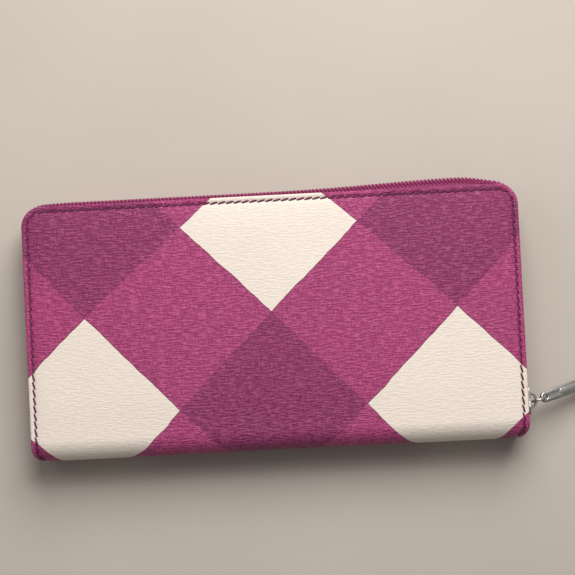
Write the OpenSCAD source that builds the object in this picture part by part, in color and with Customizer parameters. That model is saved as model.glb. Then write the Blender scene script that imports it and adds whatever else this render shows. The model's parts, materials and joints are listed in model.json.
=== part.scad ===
// Zip-around long wallet, lying closed on its back cover.
// X runs along the zip's long side, +Y from the spine to the zip, +Z from the back cover to the front cover.
// The origin is the middle of the back cover's outer face.

/* [Covers] */
// Width of the closed wallet, side edge to side edge
cover_w = 195; // [175:1:240]
// Height from the spine's outer face to a cover's free edge
cover_h = 100; // [92:1:124]
// Thickness of the closed wallet, outer face to outer face
body_t = 25; // [24:0.5:32]
// Radius of a cover's two free corners
corner_r = 8; // [6:0.5:10]
// Outer radius of the leather where it bends round the spine
bend_r = 8; // [6.5:0.5:10]
// Radius of the cover's corners at the spine, seen from the front
spine_corner_r = 4; // [3:0.5:6]
// Thickness of the printed outer leather
leather_t = 1.2; // [1:0.1:1.5]
// Thickness of the stiffening board inside each cover
board_t = 0.6; // [0.5:0.1:1]
// Thickness of the inner leather that lines each cover
lining_t = 0.6; // [0.5:0.1:0.8]
// How far the inner leather stays inside a cover's edge
lining_inset = 1.8; // [1.6:0.1:2.2]

/* [Seam] */
// Distance from a cover's edge to its row of stitches
seam_inset = 2.6; // [2.4:0.1:3.6]
// Width of the pressed channel that the stitches lie in
groove_w = 0.8; // [0.7:0.1:1]
// Depth of that channel
groove_d = 0.35; // [0.3:0.05:0.5]
// Thickness of the sewing thread
thread_t = 0.5; // [0.4:0.05:0.6]

/* [Zip] */
// Thickness of the woven zip tape
tape_t = 0.5; // [0.4:0.05:0.6]
// Width of the tape that is sewn under a cover's edge
tape_flange = 6; // [5:0.5:7]
// How far the zip's tape stands out past the covers' free edge, negative where it is drawn in
top_bulge = 0.7; // [0:0.1:1.5]
// How far the tape stands out past the covers' side edges, negative where it is drawn in
side_bulge = -0.8; // [-1.5:0.1:-0.5]
// Extra swell of the zip near one end of its long side
zip_swell = 2.4; // [0:0.1:3]
// Width of both rows of coil together
coil_w = 5; // [4.5:0.1:6]
// Height of a coil above its tape
coil_t = 1.3; // [1.2:0.1:1.8]
// Gap between the two rows of coil, where the slider's wedge runs
coil_gap = 1.2; // [1.2:0.1:1.4]

/* [Slider] */
// Length of the zip slider along the zip
slider_l = 11; // [9:0.5:14]
// Width of the zip slider across the zip
slider_w = 8; // [7.6:0.1:10]
// Thickness of each of the slider's two plates
plate_t = 0.9; // [0.8:0.1:1.3]
// Height of the arch on the slider that holds the ring
arch_h = 3; // [2.9:0.1:3.6]
// Outer diameter of the ring between slider and pull
ring_d = 6.4; // [6.3:0.1:7]
// Thickness of the ring's wire
ring_wire = 0.9; // [0.8:0.05:0.95]
// Length of the pull bar
pull_l = 36; // [30:1:44]
// Width of the pull bar
pull_w = 4.8; // [4.4:0.1:6]
// Thickness of the pull bar
pull_t = 1.6; // [1.4:0.1:1.8]

/* [Card slots] */
// Width of the panel of card slots in each cover, two cards side by side
card_w = 180; // [174:1:184]
// Number of card slots in each column
card_rows = 4; // [2:1:4]
// Height of the uppermost slot's mouth above the middle of the cover
card_top = 30; // [24:1:34]
// Step from one slot's mouth to the next
card_step = 11; // [9:0.5:12]
// Thickness of one card-slot layer
card_t = 0.45; // [0.4:0.05:0.5]

/* [Coin pocket] */
// Width of the zipped coin pocket
coin_w = 160; // [140:1:166]
// Height of the coin pocket's top edge above the middle of the cover
coin_top = 30; // [24:1:31]
// Thickness of the coin pocket
coin_t = 7; // [6.8:0.1:7.4]
// Thickness of each of its two leather panels
coin_panel_t = 0.9; // [0.7:0.1:1]
// Thickness of its textile lining
coin_lining_t = 0.35; // [0.3:0.05:0.4]
// Width of both rows of its zip's coil together
coin_coil_w = 4; // [3.6:0.1:4.4]
// Length of its slider
coin_slider_l = 8; // [7:0.5:10]
// Length of its pull
coin_pull_l = 13; // [10:0.5:13.5]

/* [Gussets] */
// Depth of a gusset's fold, from the coin pocket's side inwards
gusset_depth = 22; // [16:1:26]
// Height of a gusset's top edge above the middle of the cover
gusset_top = 20; // [12:1:26]
// Thickness of the gusset's leather
gusset_t = 0.5; // [0.4:0.05:0.6]

/* [Hidden] */

// Colours, as on the object
plum = [0.52, 0.12, 0.33];
plum_dark = [0.36, 0.07, 0.22];
plum_light = [0.66, 0.25, 0.45];
board_grey = [0.7, 0.66, 0.6];
nickel = [0.75, 0.74, 0.72];

// Clearance between soft neighbours, and room for a slider to run
touch = 0.05;
run_gap = 0.3;
arc_steps = 8;

half_w = cover_w / 2;
free_y = cover_h / 2;
spine_y = -cover_h / 2;
mid_z = body_t / 2;
bend_y = spine_y + bend_r;

// Where the leather folds as the wallet opens: halfway round each bend, with a narrow gap on either side
fold_angle = 225;
fold_gap = 1.1;

// Heights of the layers of a cover, from its outer face inwards
board_z = leather_t;
lining_z = board_z + board_t;
card_z = lining_z + lining_t + touch;
card_pitch = card_t + touch;
card_stack_z = card_z + card_rows * card_pitch - touch;
tape_z = leather_t + board_t / 2;

// Where the tape turns up out of the seam, and where the zip starts beside the spine
tape_turn = -lining_inset + tape_t / 2 + 0.5;
zip_low = bend_y + 0.2;
rise_start = free_y - corner_r - 20;
rise_len = 46;
swell_x = 76;
swell_rise = 42;
swell_fall = 13;

// Coin pocket
coin_low_z = mid_z - coin_t / 2;
coin_gap_half = coin_t / 2 - coin_panel_t;
spine_inner_y = spine_y + leather_t + touch + lining_t;
coin_low_y = spine_inner_y + run_gap;
coin_tape_y = coin_top - 0.5;
coin_coil_t = 1.2;
coin_coil_gap = 1;

function ease(t) = t <= 0 ? 0 : t >= 1 ? 1 : t * t * (3 - 2 * t);
function reversed(list) = [for (i = [len(list) - 1 : -1 : 0]) list[i]];
function arc(centre, r, from, to, steps = arc_steps) = [
    for (i = [0 : steps])
        let (a = from + (to - from) * i / steps)
        centre + r * [cos(a), sin(a)]
];

// The U that a cover's edge follows, inset from it, from the right side round the free corners to the left side
function u_path(inset, low) =
    let (w = half_w - inset, top = free_y - inset, r = max(corner_r - inset, 0.5))
    concat(
        [[w, low]],
        arc([w - r, top - r], r, 0, 90),
        arc([-(w - r), top - r], r, 90, 180),
        [[-w, low]]
    );

// A point on the cover's edge, its outward direction and how far the zip stands out there
function zip_bulge(along, x) =
    let (spread = x < swell_x ? swell_rise : swell_fall)
    side_bulge + (top_bulge - side_bulge) * ease(along / rise_len)
    + zip_swell * exp(-pow((x - swell_x) / spread, 2)) * ease((along - rise_len / 3) / rise_len * 2);
function zip_half(side) = concat(
    [for (i = [0 : 8])
        let (y = zip_low + (free_y - corner_r - zip_low) * i / 8)
        [[side * half_w, y], [side, 0], zip_bulge(y - rise_start, side * half_w)]],
    [for (i = [1 : arc_steps])
        let (a = 90 * i / arc_steps, out = [side * cos(a), sin(a)], past = corner_r * a * PI / 180)
        [[side * (half_w - corner_r), free_y - corner_r] + corner_r * out, out,
            zip_bulge(free_y - corner_r - rise_start + past, side * half_w)]],
    [for (i = [1 : 10])
        let (x = side * (half_w - corner_r) * (1 - i / 10), past = corner_r * PI / 2 + half_w - corner_r - abs(x))
        [[x, free_y], [0, 1], zip_bulge(free_y - corner_r - rise_start + past, x)]]
);
zip_stations = concat(zip_half(1), [for (i = [len(zip_half(-1)) - 2 : -1 : 0]) zip_half(-1)[i]]);
function place_section(station, section) = [
    for (p = section) [
        station[0].x + station[1].x * p.x,
        station[0].y + station[1].y * p.x,
        p.y
    ]
];

// The tape's section: sewn flange, then a wall that rises to the coil. First value outwards, second value up
function tape_section(bulge) =
    let (
        half = tape_t / 2,
        top = mid_z - coil_gap / 2 - 0.4,
        wall = [for (i = [1 : 6])
            let (t = i / 6)
            [tape_turn + (bulge - tape_turn) * (1 - pow(1 - t, 2)), tape_z + (top - tape_z) * t]]
    )
    concat(
        [[tape_turn - tape_flange, tape_z - half], [tape_turn + half, tape_z - half]],
        [for (p = wall) p + [half, 0]],
        [for (p = reversed(wall)) p - [half, 0]],
        [[tape_turn - half, tape_z + half], [tape_turn - tape_flange, tape_z + half]]
    );
function coil_section(bulge) =
    let (base = bulge + tape_t / 2 + touch, low = mid_z - coil_w / 2, top = mid_z - coil_gap / 2)
    [[base, low], [base + coil_t, low], [base + coil_t, top], [base, top]];

// A closed solid through a row of sections that have the same number of points
module skin(sections) {
    n = len(sections[0]);
    last = len(sections) - 1;
    polyhedron(
        points = [for (s = sections) for (p = s) p],
        faces = concat(
            [[for (j = [0 : n - 1]) j]],
            [for (i = [0 : last - 1]) for (j = [0 : n - 1])
                [i * n + j, (i + 1) * n + j, (i + 1) * n + (j + 1) % n, i * n + (j + 1) % n]],
            [[for (j = [n - 1 : -1 : 0]) last * n + j]]
        ),
        convexity = 6
    );
}

// Places the front half's pieces: the back half's, turned over about the wallet's middle plane
module front_side() {
    translate([0, 0, body_t]) mirror([0, 0, 1]) children();
}

// Extrudes an outline drawn in Y and Z along X, centred on the wallet
module across(width) {
    translate([-width / 2, 0, 0]) rotate([90, 0, 90]) linear_extrude(width) children();
}

module u_band(inset_out, inset_in, low, height) {
    linear_extrude(height) polygon(concat(u_path(inset_out, low), reversed(u_path(inset_in, low))));
}

// What the covers show from the front, with rounded corners at the spine end
module plan_mask() {
    r = spine_corner_r;
    translate([0, 0, -1]) linear_extrude(body_t + 2) polygon(concat(
        [[half_w, 0]], [[-half_w, 0]],
        arc([-(half_w - r), spine_y + r], r, 180, 270),
        arc([half_w - r, spine_y + r], r, 270, 360)
    ));
}

// Part of the layer that bends round the spine, in Y and Z, from one angle to another of the lower bend
module bend_section(outer, inner, from, to) {
    centre = [bend_y, bend_r];
    polygon(concat(arc(centre, outer, from, to, 6), reversed(arc(centre, inner, from, to, 6))));
}

module cover_leather() {
    difference() {
        union() {
            linear_extrude(leather_t) polygon(u_path(0, bend_y));
            intersection() {
                across(cover_w) bend_section(bend_r, bend_r - leather_t, 270, fold_angle + fold_gap);
                plan_mask();
            }
        }
        translate([0, 0, -1])
            u_band(seam_inset - groove_w / 2, seam_inset + groove_w / 2, bend_y + 1, groove_d + 1);
    }
}

module cover_board() {
    translate([0, 0, board_z]) linear_extrude(board_t)
        polygon(u_path(-tape_turn + tape_flange + run_gap, bend_y + 1));
}

module inner_leather() {
    translate([0, 0, lining_z]) linear_extrude(lining_t) polygon(u_path(lining_inset, bend_y));
}

module seam_thread() {
    translate([0, 0, touch])
        u_band(seam_inset - thread_t / 2, seam_inset + thread_t / 2, bend_y + 1.5, groove_d - touch);
}

// One layer of card slots: row 1 has the highest mouth and lies deepest, and its mouth dips in two thumb curves
module card_slot(row) {
    top = card_top - (row - 1) * card_step;
    dip = 2.2;
    translate([0, 0, card_z + (row - 1) * card_pitch]) linear_extrude(card_t) polygon(concat(
        [[-card_w / 2, bend_y + 1], [card_w / 2, bend_y + 1], [card_w / 2, top]],
        [for (side = [1, -1]) for (i = [0 : 10])
            [side * card_w / 4 + card_w / 10 * (1 - i / 5), top - dip * sin(18 * i)]],
        [[-card_w / 2, top]]
    ));
}

// The line of stitches between the two columns of cards, a length on each step of the layers
module card_seam_thread() {
    for (row = [1 : card_rows]) {
        top = card_top - (row - 1) * card_step - 1;
        low = row < card_rows ? top + 2 - card_step : bend_y + 2;
        translate([-thread_t / 2, low, card_z + row * card_pitch - touch]) cube([thread_t, top - low, 0.25]);
    }
}

module zip_tape() {
    skin([for (s = zip_stations) place_section(s, tape_section(s[2]))]);
}

module zip_coil() {
    skin([for (s = zip_stations) place_section(s, coil_section(s[2]))]);
}

// A pleat between a cover and the coin pocket, folded inwards to a V and open towards the side of the wallet
module gusset(side) {
    low = card_stack_z + 0.2;
    high = coin_low_z - 0.2;
    middle = (low + high) / 2;
    fold = coin_w / 2 - gusset_depth;
    outer_low = card_w / 2 + 2;
    outer_high = coin_w / 2 + 3;
    bottom = spine_inner_y + 3.5;
    translate([0, gusset_top, 0]) rotate([90, 0, 0]) linear_extrude(gusset_top - bottom) polygon([
        for (p = [
            [outer_low, low], [outer_low, low + gusset_t], [fold + 2 * gusset_t, middle],
            [outer_high, high - gusset_t], [outer_high, high],
            [fold, middle + gusset_t / 2], [fold, middle - gusset_t / 2]
        ]) [side * p.x, p.y]
    ]);
}

// A strip that follows the inside or outside of the spine between its two folds, in Y and Z
module spine_section(outer, inner, end) {
    low = [bend_y, bend_r];
    high = [bend_y, body_t - bend_r];
    polygon(concat(
        arc(low, outer, end, 180, 6), arc(high, outer, 180, 360 - end, 6),
        arc(high, inner, 360 - end, 180, 6), arc(low, inner, 180, end, 6)
    ));
}

module spine_leather() {
    intersection() {
        across(cover_w) spine_section(bend_r, bend_r - leather_t, fold_angle - fold_gap);
        plan_mask();
    }
}

module spine_lining() {
    outer = bend_r - leather_t - touch;
    across(cover_w - 12) spine_section(outer, outer - lining_t, fold_angle - fold_gap);
}

// Metal clips on the ends of the coil beside the spine: one on each row where the zip closes,
// and one across both rows at the other end, where they always stay joined
coil_base = half_w + side_bulge + tape_t / 2 + touch;
stop_l = 1.6;
stop_y = zip_low - stop_l - run_gap;

module zip_top_stop() {
    translate([coil_base, stop_y, mid_z - coil_w / 2 + 0.3]) cube([coil_t, stop_l, (coil_w - coil_gap) / 2 - 0.3]);
}

module zip_bottom_stop() {
    translate([-coil_base - coil_t, stop_y, mid_z - coil_w / 2 + 0.3]) cube([coil_t, stop_l, coil_w - 0.6]);
}

module coin_panel() {
    r = 3;
    w = coin_w / 2;
    translate([0, 0, coin_low_z]) linear_extrude(coin_panel_t) polygon(concat(
        [[-w, coin_low_y], [w, coin_low_y]],
        arc([w - r, coin_top - r], r, 0, 90),
        arc([-(w - r), coin_top - r], r, 90, 180)
    ));
}

// The bag inside the coin pocket, open at its top under the zip
module coin_lining() {
    w = coin_w - 4;
    top = coin_top - 2.8;
    low = coin_low_y + 0.6;
    outer = 2 * (coin_gap_half - touch);
    inner = outer - 2 * coin_lining_t;
    translate([-w / 2, low, mid_z - outer / 2]) difference() {
        cube([w, top - low, outer]);
        translate([coin_lining_t, coin_lining_t, (outer - inner) / 2])
            cube([w - 2 * coin_lining_t, top - low, inner]);
    }
}

// A strip that closes each side of the coin pocket between its panels
module coin_side_binding(side) {
    thick = 1.2;
    x = coin_w / 2 - 0.4;
    translate([side > 0 ? x - thick : -x, coin_low_y, mid_z - coin_gap_half + touch])
        cube([thick, coin_top - 4 - coin_low_y, 2 * (coin_gap_half - touch)]);
}

module coin_zip_tape() {
    low = mid_z - coin_gap_half + touch;
    translate([-coin_w / 2 + 4, coin_tape_y, low])
        cube([coin_w - 8, 0.4, mid_z - coin_coil_gap / 2 - 0.4 - low]);
}

module coin_zip_coil() {
    translate([-coin_w / 2 + 6, coin_tape_y + 0.4 + touch, mid_z - coin_coil_w / 2])
        cube([coin_w - 12, coin_coil_t, (coin_coil_w - coin_coil_gap) / 2]);
}

module coin_zip_stops() {
    for (side = [-1, 1])
        translate([side * (coin_w / 2 - 5) - 0.7, coin_tape_y + 0.4 + touch, mid_z - coin_coil_w / 2 + 0.2])
            cube([1.4, coin_coil_t, coin_coil_w - 0.4]);
}

// A zip slider that runs along local X with local Z up: lower plate, upper plate with side lips, wedge and arch.
// The tape's middle lies at Z 0 and the coils stand on it. The arch holds a pin or ring of the given diameter.
module slider_shape(length, width, low_w, plate, tape, coil_h, coil_width, post_w, arch, arch_w, eye) {
    lower_top = -tape / 2 - run_gap;
    upper_low = tape / 2 + coil_h + run_gap;
    upper_top = upper_low + plate;
    lip = (width - coil_width) / 2 - run_gap;
    translate([-length / 2, -low_w / 2, lower_top - plate]) cube([length, low_w, plate]);
    translate([-length / 2, -width / 2, upper_low]) cube([length, width, plate]);
    for (side = [-1, 1])
        translate([-length / 2, side > 0 ? width / 2 - lip : -width / 2, tape / 2 + run_gap])
            cube([length, lip, coil_h + plate / 2]);
    translate([length / 2 - 3, -post_w / 2, lower_top - plate / 2])
        cube([2.6, post_w, upper_top - lower_top]);
    span = length - 2;
    translate([0, arch_w / 2, upper_top]) rotate([90, 0, 0]) linear_extrude(arch_w) difference() {
        polygon(concat(
            [[-span / 2, -plate / 2], [span / 2, -plate / 2]],
            [for (i = [0 : 12]) [span / 2 * cos(15 * i), arch * pow(sin(15 * i), 0.7)]]
        ));
        translate([-span / 2 + 1.2, 0]) square([span - 2.4, eye]);
    }
}

// The zip slider's place on the right side of the wallet, with its wedge towards the spine
slider_y = zip_low + 0.3 + slider_l / 2;
slider_x = half_w + side_bulge;
arch_x = slider_x + tape_t / 2 + coil_t + run_gap + plate_t;
arch_w = 1.6;
eye_h = ring_wire + 1.1;

module zip_slider() {
    translate([slider_x, slider_y, mid_z]) rotate([0, 90, 0]) rotate([0, 0, -90])
        slider_shape(
            slider_l, slider_w, slider_w - 1.4, plate_t, tape_t, coil_t, coil_w, coil_gap - 0.3, arch_h, arch_w, eye_h
        );
}

// The ring hangs round the top of the arch, and the pull lies out from it with its tip on the table
pull_turn = 16;
ring_droop = 10;
ring_r = (ring_d - ring_wire) / 2;
ring_hub = [arch_x + (eye_h + arch_h) / 2, slider_y, mid_z];
ring_back = arch_h / 2;
pull_eye_r = ring_wire / 2 + 0.35;
pull_head_r = pull_eye_r + 1.2;
pull_drop = mid_z - (2 * ring_r - ring_back) * sin(ring_droop) - pull_t / 2 - 0.5;
pull_droop = asin(pull_drop / (pull_l - pull_head_r));

// Turns a piece drawn along X from the middle of the arch's top to where the ring lies
module from_arch() {
    translate(ring_hub) rotate([0, 0, pull_turn]) rotate([0, ring_droop, 0]) children();
}

module pull_ring() {
    from_arch() translate([ring_r - ring_back, 0, 0]) rotate([90, 0, 0])
        rotate_extrude($fn = 48) translate([ring_r, 0]) circle(d = ring_wire, $fn = 24);
}

// A flat bar with rounded ends and a round eye, drawn along local X from the eye's centre
module pull_bar() {
    tip_x = pull_l - pull_head_r - pull_w / 2;
    translate([0, 0, -pull_t / 2]) linear_extrude(pull_t) difference() {
        union() {
            circle(r = pull_head_r, $fn = 48);
            polygon([
                [0, -pull_head_r], [2 * pull_head_r, -pull_w / 2], [tip_x, -pull_w / 2],
                [tip_x, pull_w / 2], [2 * pull_head_r, pull_w / 2], [0, pull_head_r]
            ]);
            translate([tip_x, 0]) circle(d = pull_w, $fn = 48);
        }
        circle(r = pull_eye_r, $fn = 48);
    }
}

module zip_pull() {
    from_arch() translate([2 * ring_r - ring_back, 0, 0]) rotate([0, pull_droop - ring_droop, 0]) pull_bar();
}

// The coin pocket's slider stands at the right end of its zip, its pull laid back along the zip
coin_slider_x = coin_w / 2 - 6.6 - coin_slider_l / 2;
coin_arch_y = coin_tape_y + 0.4 + coin_coil_t + run_gap + 0.8;
coin_eye = 1.3;
coin_pin = 0.9;
coin_pull_hook = [coin_slider_x, coin_arch_y + coin_eye / 2, mid_z];

module coin_slider() {
    translate([coin_slider_x, coin_tape_y + 0.2, mid_z]) rotate([-90, 0, 0])
        slider_shape(
            coin_slider_l, coin_coil_w + 2.4, 2 * coin_gap_half - 0.8, 0.8, 0.4, coin_coil_t, coin_coil_w,
            coin_coil_gap - 0.3, 2.2, 1.6, coin_eye
        );
}

// The pull of the coin pocket: a frame whose end bar runs through the slider's arch
module coin_pull() {
    width = 4.6;
    frame_l = 4;
    translate(coin_pull_hook) {
        translate([0, 0, -width / 2]) cylinder(d = coin_pin, h = width, $fn = 24);
        for (side = [-1, 1])
            translate([-frame_l, -coin_pin / 2, side > 0 ? width / 2 - 0.8 : -width / 2])
                cube([frame_l, coin_pin, 0.8]);
        translate([-coin_pull_l, -coin_pin / 2, -width / 2]) cube([coin_pull_l - frame_l, coin_pin, width]);
    }
}

module back_cover_leather() { color(plum) cover_leather(); }
module back_cover_board() { color(board_grey) cover_board(); }
module back_inner_leather() { color(plum_light) inner_leather(); }
module back_seam_thread() { color(plum_dark) seam_thread(); }
module back_card_slot(row) { color(plum_light) card_slot(row); }
module back_card_seam_thread() { color(plum_dark) card_seam_thread(); }
module zip_tape_back() { color(plum_dark) zip_tape(); }
module zip_coil_back() { color(plum) zip_coil(); }
module gusset_back(side) { color(plum_light) gusset(side); }

module front_cover_leather() { color(plum) front_side() cover_leather(); }
module front_cover_board() { color(board_grey) front_side() cover_board(); }
module front_inner_leather() { color(plum_light) front_side() inner_leather(); }
module front_seam_thread() { color(plum_dark) front_side() seam_thread(); }
module front_card_slot(row) { color(plum_light) front_side() card_slot(row); }
module front_card_seam_thread() { color(plum_dark) front_side() card_seam_thread(); }
module zip_tape_front() { color(plum_dark) front_side() zip_tape(); }
module zip_coil_front() { color(plum) front_side() zip_coil(); }
module gusset_front(side) { color(plum_light) front_side() gusset(side); }

back_cover_leather();
back_cover_board();
back_inner_leather();
back_seam_thread();
for (row = [1 : card_rows])
    back_card_slot(row);
back_card_seam_thread();
zip_tape_back();
zip_coil_back();
color(nickel) zip_top_stop();  // zip_top_stop_back
color(nickel) zip_bottom_stop();
gusset_back(-1);  // gusset_back_left
gusset_back(1);  // gusset_back_right

front_cover_leather();
front_cover_board();
front_inner_leather();
front_seam_thread();
for (row = [1 : card_rows])
    front_card_slot(row);
front_card_seam_thread();
zip_tape_front();
zip_coil_front();
color(nickel) front_side() zip_top_stop();  // zip_top_stop_front
gusset_front(-1);  // gusset_front_left
gusset_front(1);  // gusset_front_right

color(plum) spine_leather();
color(plum_light) spine_lining();
color(plum_light) coin_panel();  // coin_panel_back
color(plum_light) front_side() coin_panel();  // coin_panel_front
color(plum_dark) coin_lining();
color(plum) coin_side_binding(-1);  // coin_side_binding_left
color(plum) coin_side_binding(1);  // coin_side_binding_right
color(plum_dark) coin_zip_tape();  // coin_zip_tape_back
color(plum_dark) front_side() coin_zip_tape();  // coin_zip_tape_front
color(plum) coin_zip_coil();  // coin_zip_coil_back
color(plum) front_side() coin_zip_coil();  // coin_zip_coil_front
color(nickel) coin_zip_stops();
color(nickel) zip_slider();
color(nickel) pull_ring();
color(nickel) zip_pull();
color(nickel) coin_slider();
color(nickel) coin_pull();
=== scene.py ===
"""Long zip-around wallet: the finish of every surface, and its leather, textile and metal pieces as meshes."""

import json
import math

import bpy
import numpy as np
from bpy.props import FloatProperty, FloatVectorProperty, PointerProperty
from mathutils import Matrix, Vector


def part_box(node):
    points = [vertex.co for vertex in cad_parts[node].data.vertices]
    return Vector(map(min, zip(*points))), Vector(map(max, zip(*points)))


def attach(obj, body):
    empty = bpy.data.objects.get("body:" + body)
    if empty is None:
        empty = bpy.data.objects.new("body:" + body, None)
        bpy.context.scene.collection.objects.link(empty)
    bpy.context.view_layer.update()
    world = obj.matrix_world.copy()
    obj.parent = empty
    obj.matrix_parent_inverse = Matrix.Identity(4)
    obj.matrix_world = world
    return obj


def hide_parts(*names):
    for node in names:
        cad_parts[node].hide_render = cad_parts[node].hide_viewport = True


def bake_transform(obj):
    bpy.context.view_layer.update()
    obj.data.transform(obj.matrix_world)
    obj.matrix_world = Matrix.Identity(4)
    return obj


bl_info = {
    "name": "Zip-around wallet",
    "version": (1, 0, 0),
    "blender": (4, 5, 0),
    "location": "3D View > Sidebar > Wallet",
    "description": "Makes a long zip-around wallet of printed leather, piece by piece",
    "category": "Add Mesh",
}

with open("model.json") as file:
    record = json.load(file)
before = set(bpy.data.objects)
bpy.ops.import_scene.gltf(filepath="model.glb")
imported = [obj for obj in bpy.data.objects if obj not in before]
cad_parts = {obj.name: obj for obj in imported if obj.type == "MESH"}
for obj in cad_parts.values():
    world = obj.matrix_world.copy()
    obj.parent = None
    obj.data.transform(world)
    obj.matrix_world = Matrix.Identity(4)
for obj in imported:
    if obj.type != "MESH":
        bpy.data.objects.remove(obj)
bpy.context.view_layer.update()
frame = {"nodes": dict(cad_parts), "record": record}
MM = 0.001


def linear(red, green, blue):
    """A colour given as it looks on a screen, 0 to 255, as the shader's linear values."""
    return tuple(
        c / 12.92 if c <= 0.04045 else ((c + 0.055) / 1.055) ** 2.4
        for c in (red / 255, green / 255, blue / 255)
    )


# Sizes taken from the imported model

cover_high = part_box("front_cover_leather")[1]
spine_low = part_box("spine_leather")[0]
inner_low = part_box("front_inner_leather")[0]
HALF_W, FREE_Y, BODY_T = cover_high
MID_Z = BODY_T / 2
SPINE_Y = spine_low.y
BEND_Y = inner_low.y
BEND_R = BEND_Y - SPINE_Y
LEATHER_T = 1.2 * MM
UNDER_Z = BODY_T - LEATHER_T
CORNER_R = 8 * MM
BEND_ARC = BEND_R * math.pi / 2
BEND_END = BEND_Y - BEND_ARC
SEAM_Z = MID_Z + 3 * MM
INNER_Z = inner_low.z

# The zip's low ends, where its tapes turn up inside the covers' edge, and where and over what length it comes forward
ZIP_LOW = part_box("zip_coil_back")[0].y
TAPE_TURN = -1.05 * MM
RISE_START = FREE_Y - CORNER_R - 20 * MM
RISE_LENGTH = 46 * MM

# Where along the long side it swells most, and how gently the swell starts and ends
SWELL_X = 76 * MM
SWELL_RISE = 42 * MM
SWELL_FALL = 13 * MM

# A stitch from end to end, and half of what shows of it between its holes
STITCH_LENGTH = 3.4 * MM
STITCH_SHOWN = 1.5 * MM

# One turn of the coil
TOOTH_LENGTH = 2.7 * MM
TOOTH_HEIGHT = 1.2 * MM

# The ring and how it and the pull hang from the slider
RING_R = 2.75 * MM
RING_WIRE_R = 0.45 * MM
RING_GRIP = 1.5 * MM
PULL_TURN = math.radians(16)
RING_DROOP = math.radians(10)
PULL_DROOP = math.radians(18)

# Where each piece that crosses the spine starts and ends its bend
FRONT_FOLD = dict(start=(0, BEND_Y, BODY_T), end=(0, SPINE_Y, BODY_T - BEND_R))
BACK_FOLD = dict(start=(0, BEND_Y, 0), end=(0, SPINE_Y, BEND_R))
ZIP_FOLD = dict(start=(0, BEND_Y + BEND_R, UNDER_Z - 2 * MM), end=(0, BEND_Y - 1 * MM, MID_Z))
COVER_SIDES = (("front", False, FRONT_FOLD), ("back", True, BACK_FOLD))
ZIP_BODIES = {"back": ("back_half", None), "front": (("front_half", "spine"), ZIP_FOLD)}

# Thickness of the leathers and textiles as they are laid
OUTER_SKIN = 0.4 * MM
LINING_SKIN = 0.3 * MM
SLOT_SKIN = 0.22 * MM


def ease(t):
    t = np.clip(t, 0, 1)
    return t * t * (3 - 2 * t)


# Settings a maker would change


def colour_setting(name, description, red, green, blue):
    return FloatVectorProperty(
        name=name, description=description, subtype="COLOR", size=3, min=0, max=1, default=linear(red, green, blue))


def length_setting(name, description, length):
    return FloatProperty(name=name, description=description, subtype="DISTANCE", unit="LENGTH", default=length)


def angle_setting(name, description, degrees):
    return FloatProperty(name=name, description=description, subtype="ANGLE", default=math.radians(degrees))


class WalletLeather(bpy.types.PropertyGroup):
    ivory: colour_setting("Ivory squares", "Colour of the print's pale squares", 224, 213, 203)
    magenta: colour_setting("Magenta squares", "Colour of the print's middle squares", 156, 47, 104)
    plum: colour_setting("Plum squares", "Colour of the print's dark squares", 127, 25, 86)
    inner: colour_setting("Inner leather", "Colour of the plain leather inside", 134, 36, 86)
    square: length_setting("Square diagonal", "Diagonal of one printed square", 73 * MM)
    puff: length_setting("Padding", "How far a cover's face swells inside its stitches", 0.25 * MM)
    grain: length_setting("Grain depth", "Depth of the pressed cross grain", 0.28 * MM)


class WalletThread(bpy.types.PropertyGroup):
    colour: colour_setting("Thread", "Colour of the sewing thread", 92, 18, 62)
    pitch: length_setting("Stitch pitch", "Distance from one stitch to the next", 3.1 * MM)
    thickness: length_setting("Thread thickness", "Diameter of the thread", 0.8 * MM)
    slant: angle_setting("Stitch slant", "How far each stitch is turned from the seam's line", 15)
    inset: length_setting("Seam inset", "Distance from a cover's edge to its row of stitches", 2.1 * MM)


class WalletZip(bpy.types.PropertyGroup):
    tape: colour_setting("Tape", "Colour of the woven tape", 138, 44, 92)
    coil: colour_setting("Coil", "Colour of the nylon coil", 150, 54, 104)
    metal: colour_setting("Metal", "Colour of the plated slider, ring and pull", 188, 186, 183)
    pitch: length_setting("Coil pitch", "Distance from one turn of the coil to the next", 1.5 * MM)
    side_bulge: length_setting("Side bulge", "How far the tape stands past the covers' side edges", -0.8 * MM)
    top_bulge: length_setting("Long side bulge", "How far the tape stands past the covers' free edge", 1.1 * MM)
    swell: length_setting("Swell", "Extra bulge of the zip near one end of its long side", 2.4 * MM)
    roof: angle_setting("Coil tilt", "How far each row of coil leans back where the zip bulges most", 42)


class WalletStage(bpy.types.PropertyGroup):
    distance: length_setting("Camera distance", "From the camera to the wallet's face", 0.70)
    elevation: angle_setting("Camera elevation", "Angle of the view above the table", 88)
    roll: angle_setting("Camera roll", "How far the wallet is turned in the view", 2.9)
    width: length_setting("View width", "Width of what the camera sees at the wallet's face", 0.225)
    table: colour_setting("Table", "Colour of the plain table top", 184, 176, 167)


# Modelling helpers


def deselect():
    if bpy.context.object and bpy.context.object.mode != "OBJECT":
        bpy.ops.object.mode_set(mode="OBJECT")
    bpy.ops.object.select_all(action="DESELECT")


def pick(piece):
    deselect()
    piece.select_set(True)
    bpy.context.view_layer.objects.active = piece


def read_points(piece):
    points = np.empty(len(piece.data.vertices) * 3)
    piece.data.vertices.foreach_get("co", points)
    return points.reshape(-1, 3)


def write_points(piece, points):
    piece.data.vertices.foreach_set("co", np.asarray(points, float).ravel())
    piece.data.update()


def mark(piece, name, values):
    """Keeps a value for each point, for its material to read."""
    attribute = piece.data.attributes.new(name, "FLOAT", "POINT")
    attribute.data.foreach_set("value", values.astype(np.float32))


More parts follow.
